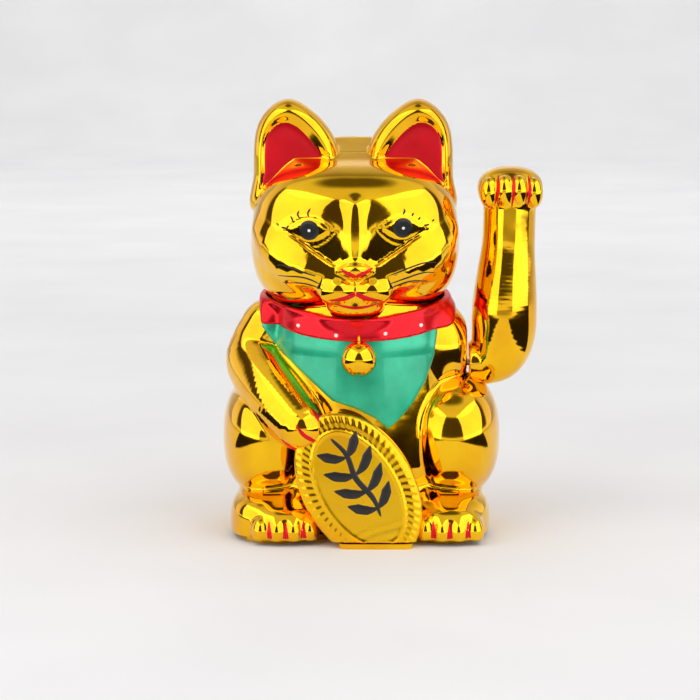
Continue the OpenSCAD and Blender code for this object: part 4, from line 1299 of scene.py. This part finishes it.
def studio_sky(scene):
    """Soft studio surroundings: a pale wall behind, a dark room round the camera and a dark spot overhead."""
    world = bpy.data.worlds.new("studio")
    scene.world = world
    world.use_nodes = True
    tree = world.node_tree
    tree.nodes.clear()
    part = add(tree, "SeparateXYZ", {"Vector": add(tree, "TexCoord").outputs["Generated"]})
    _, y, z = part.outputs
    up = add(tree, "MapRange", {"Value": z, "From Min": -1.0, "From Max": 1.0})
    # camera side: pale up to the table's edge, dark room, a bounced ceiling, dark again overhead
    front = ramp(tree, up.outputs["Result"], [(0.0, "#F6F6F6"), (0.515, "#F6F6F6"), (0.54, "#4A443E"),
                                              (0.86, "#4A443E"), (0.885, "#E8E8E8"), (0.975, "#D8D8D8"),
                                              (0.993, "#5E5A56")])
    # behind: a pale wall that falls off upwards
    rear = ramp(tree, up.outputs["Result"], [(0.0, "#FAFAFA"), (0.5, "#FBFBFB"), (0.66, "#F2EFEC"),
                                             (0.8, "#DDD8D4"), (0.93, "#B4B0AC"), (0.993, "#5E5A56")])
    ahead = add(tree, "MapRange", {"Value": y, "From Min": 0.24, "From Max": 0.34})
    mixed = add(tree, "Mix", {"Factor": ahead.outputs["Result"], "A": front, "B": rear}, data_type="RGBA")
    back = add(tree, "Background", {"Color": mixed.outputs["Result"], "Strength": 1.05})
    add(tree, "OutputWorld", {"Surface": back.outputs[0]})


class CAT_PT_panel(bpy.types.Panel):
    """Lists the figurine's pieces and sizes"""
    bl_idname = "CAT_PT_panel"
    bl_label = "Waving Cat"
    bl_space_type = "VIEW_3D"
    bl_region_type = "UI"
    bl_category = "Waving Cat"

    def draw(self, context):
        layout = self.layout
        for group in (context.scene.cat_shape, context.scene.cat_paint, context.scene.cat_stage):
            box = layout.box()
            for name in group.__annotations__:
                box.prop(group, name)
        for operator in PIECES:
            layout.operator(operator.bl_idname)


GROUPS = {"cat_shape": CatShape, "cat_paint": CatPaint, "cat_stage": CatStage}
PIECES = (CAT_OT_stage, CAT_OT_shells, CAT_OT_arm, CAT_OT_collar, CAT_OT_bell, CAT_OT_coin, CAT_OT_face,
          CAT_OT_works)


def register():
    for cls in (*GROUPS.values(), *PIECES, CAT_PT_panel):
        bpy.utils.register_class(cls)
    for name, cls in GROUPS.items():
        setattr(bpy.types.Scene, name, bpy.props.PointerProperty(type=cls))


def unregister():
    for name in GROUPS:
        delattr(bpy.types.Scene, name)
    for cls in (CAT_PT_panel, *reversed(PIECES), *reversed(list(GROUPS.values()))):
        bpy.utils.unregister_class(cls)


def main():
    register()
    draw_outlines()
    for operator in PIECES:
        group, name = operator.bl_idname.split(".")
        getattr(getattr(bpy.ops, group), name)()


if __name__ == "__main__":
    main()
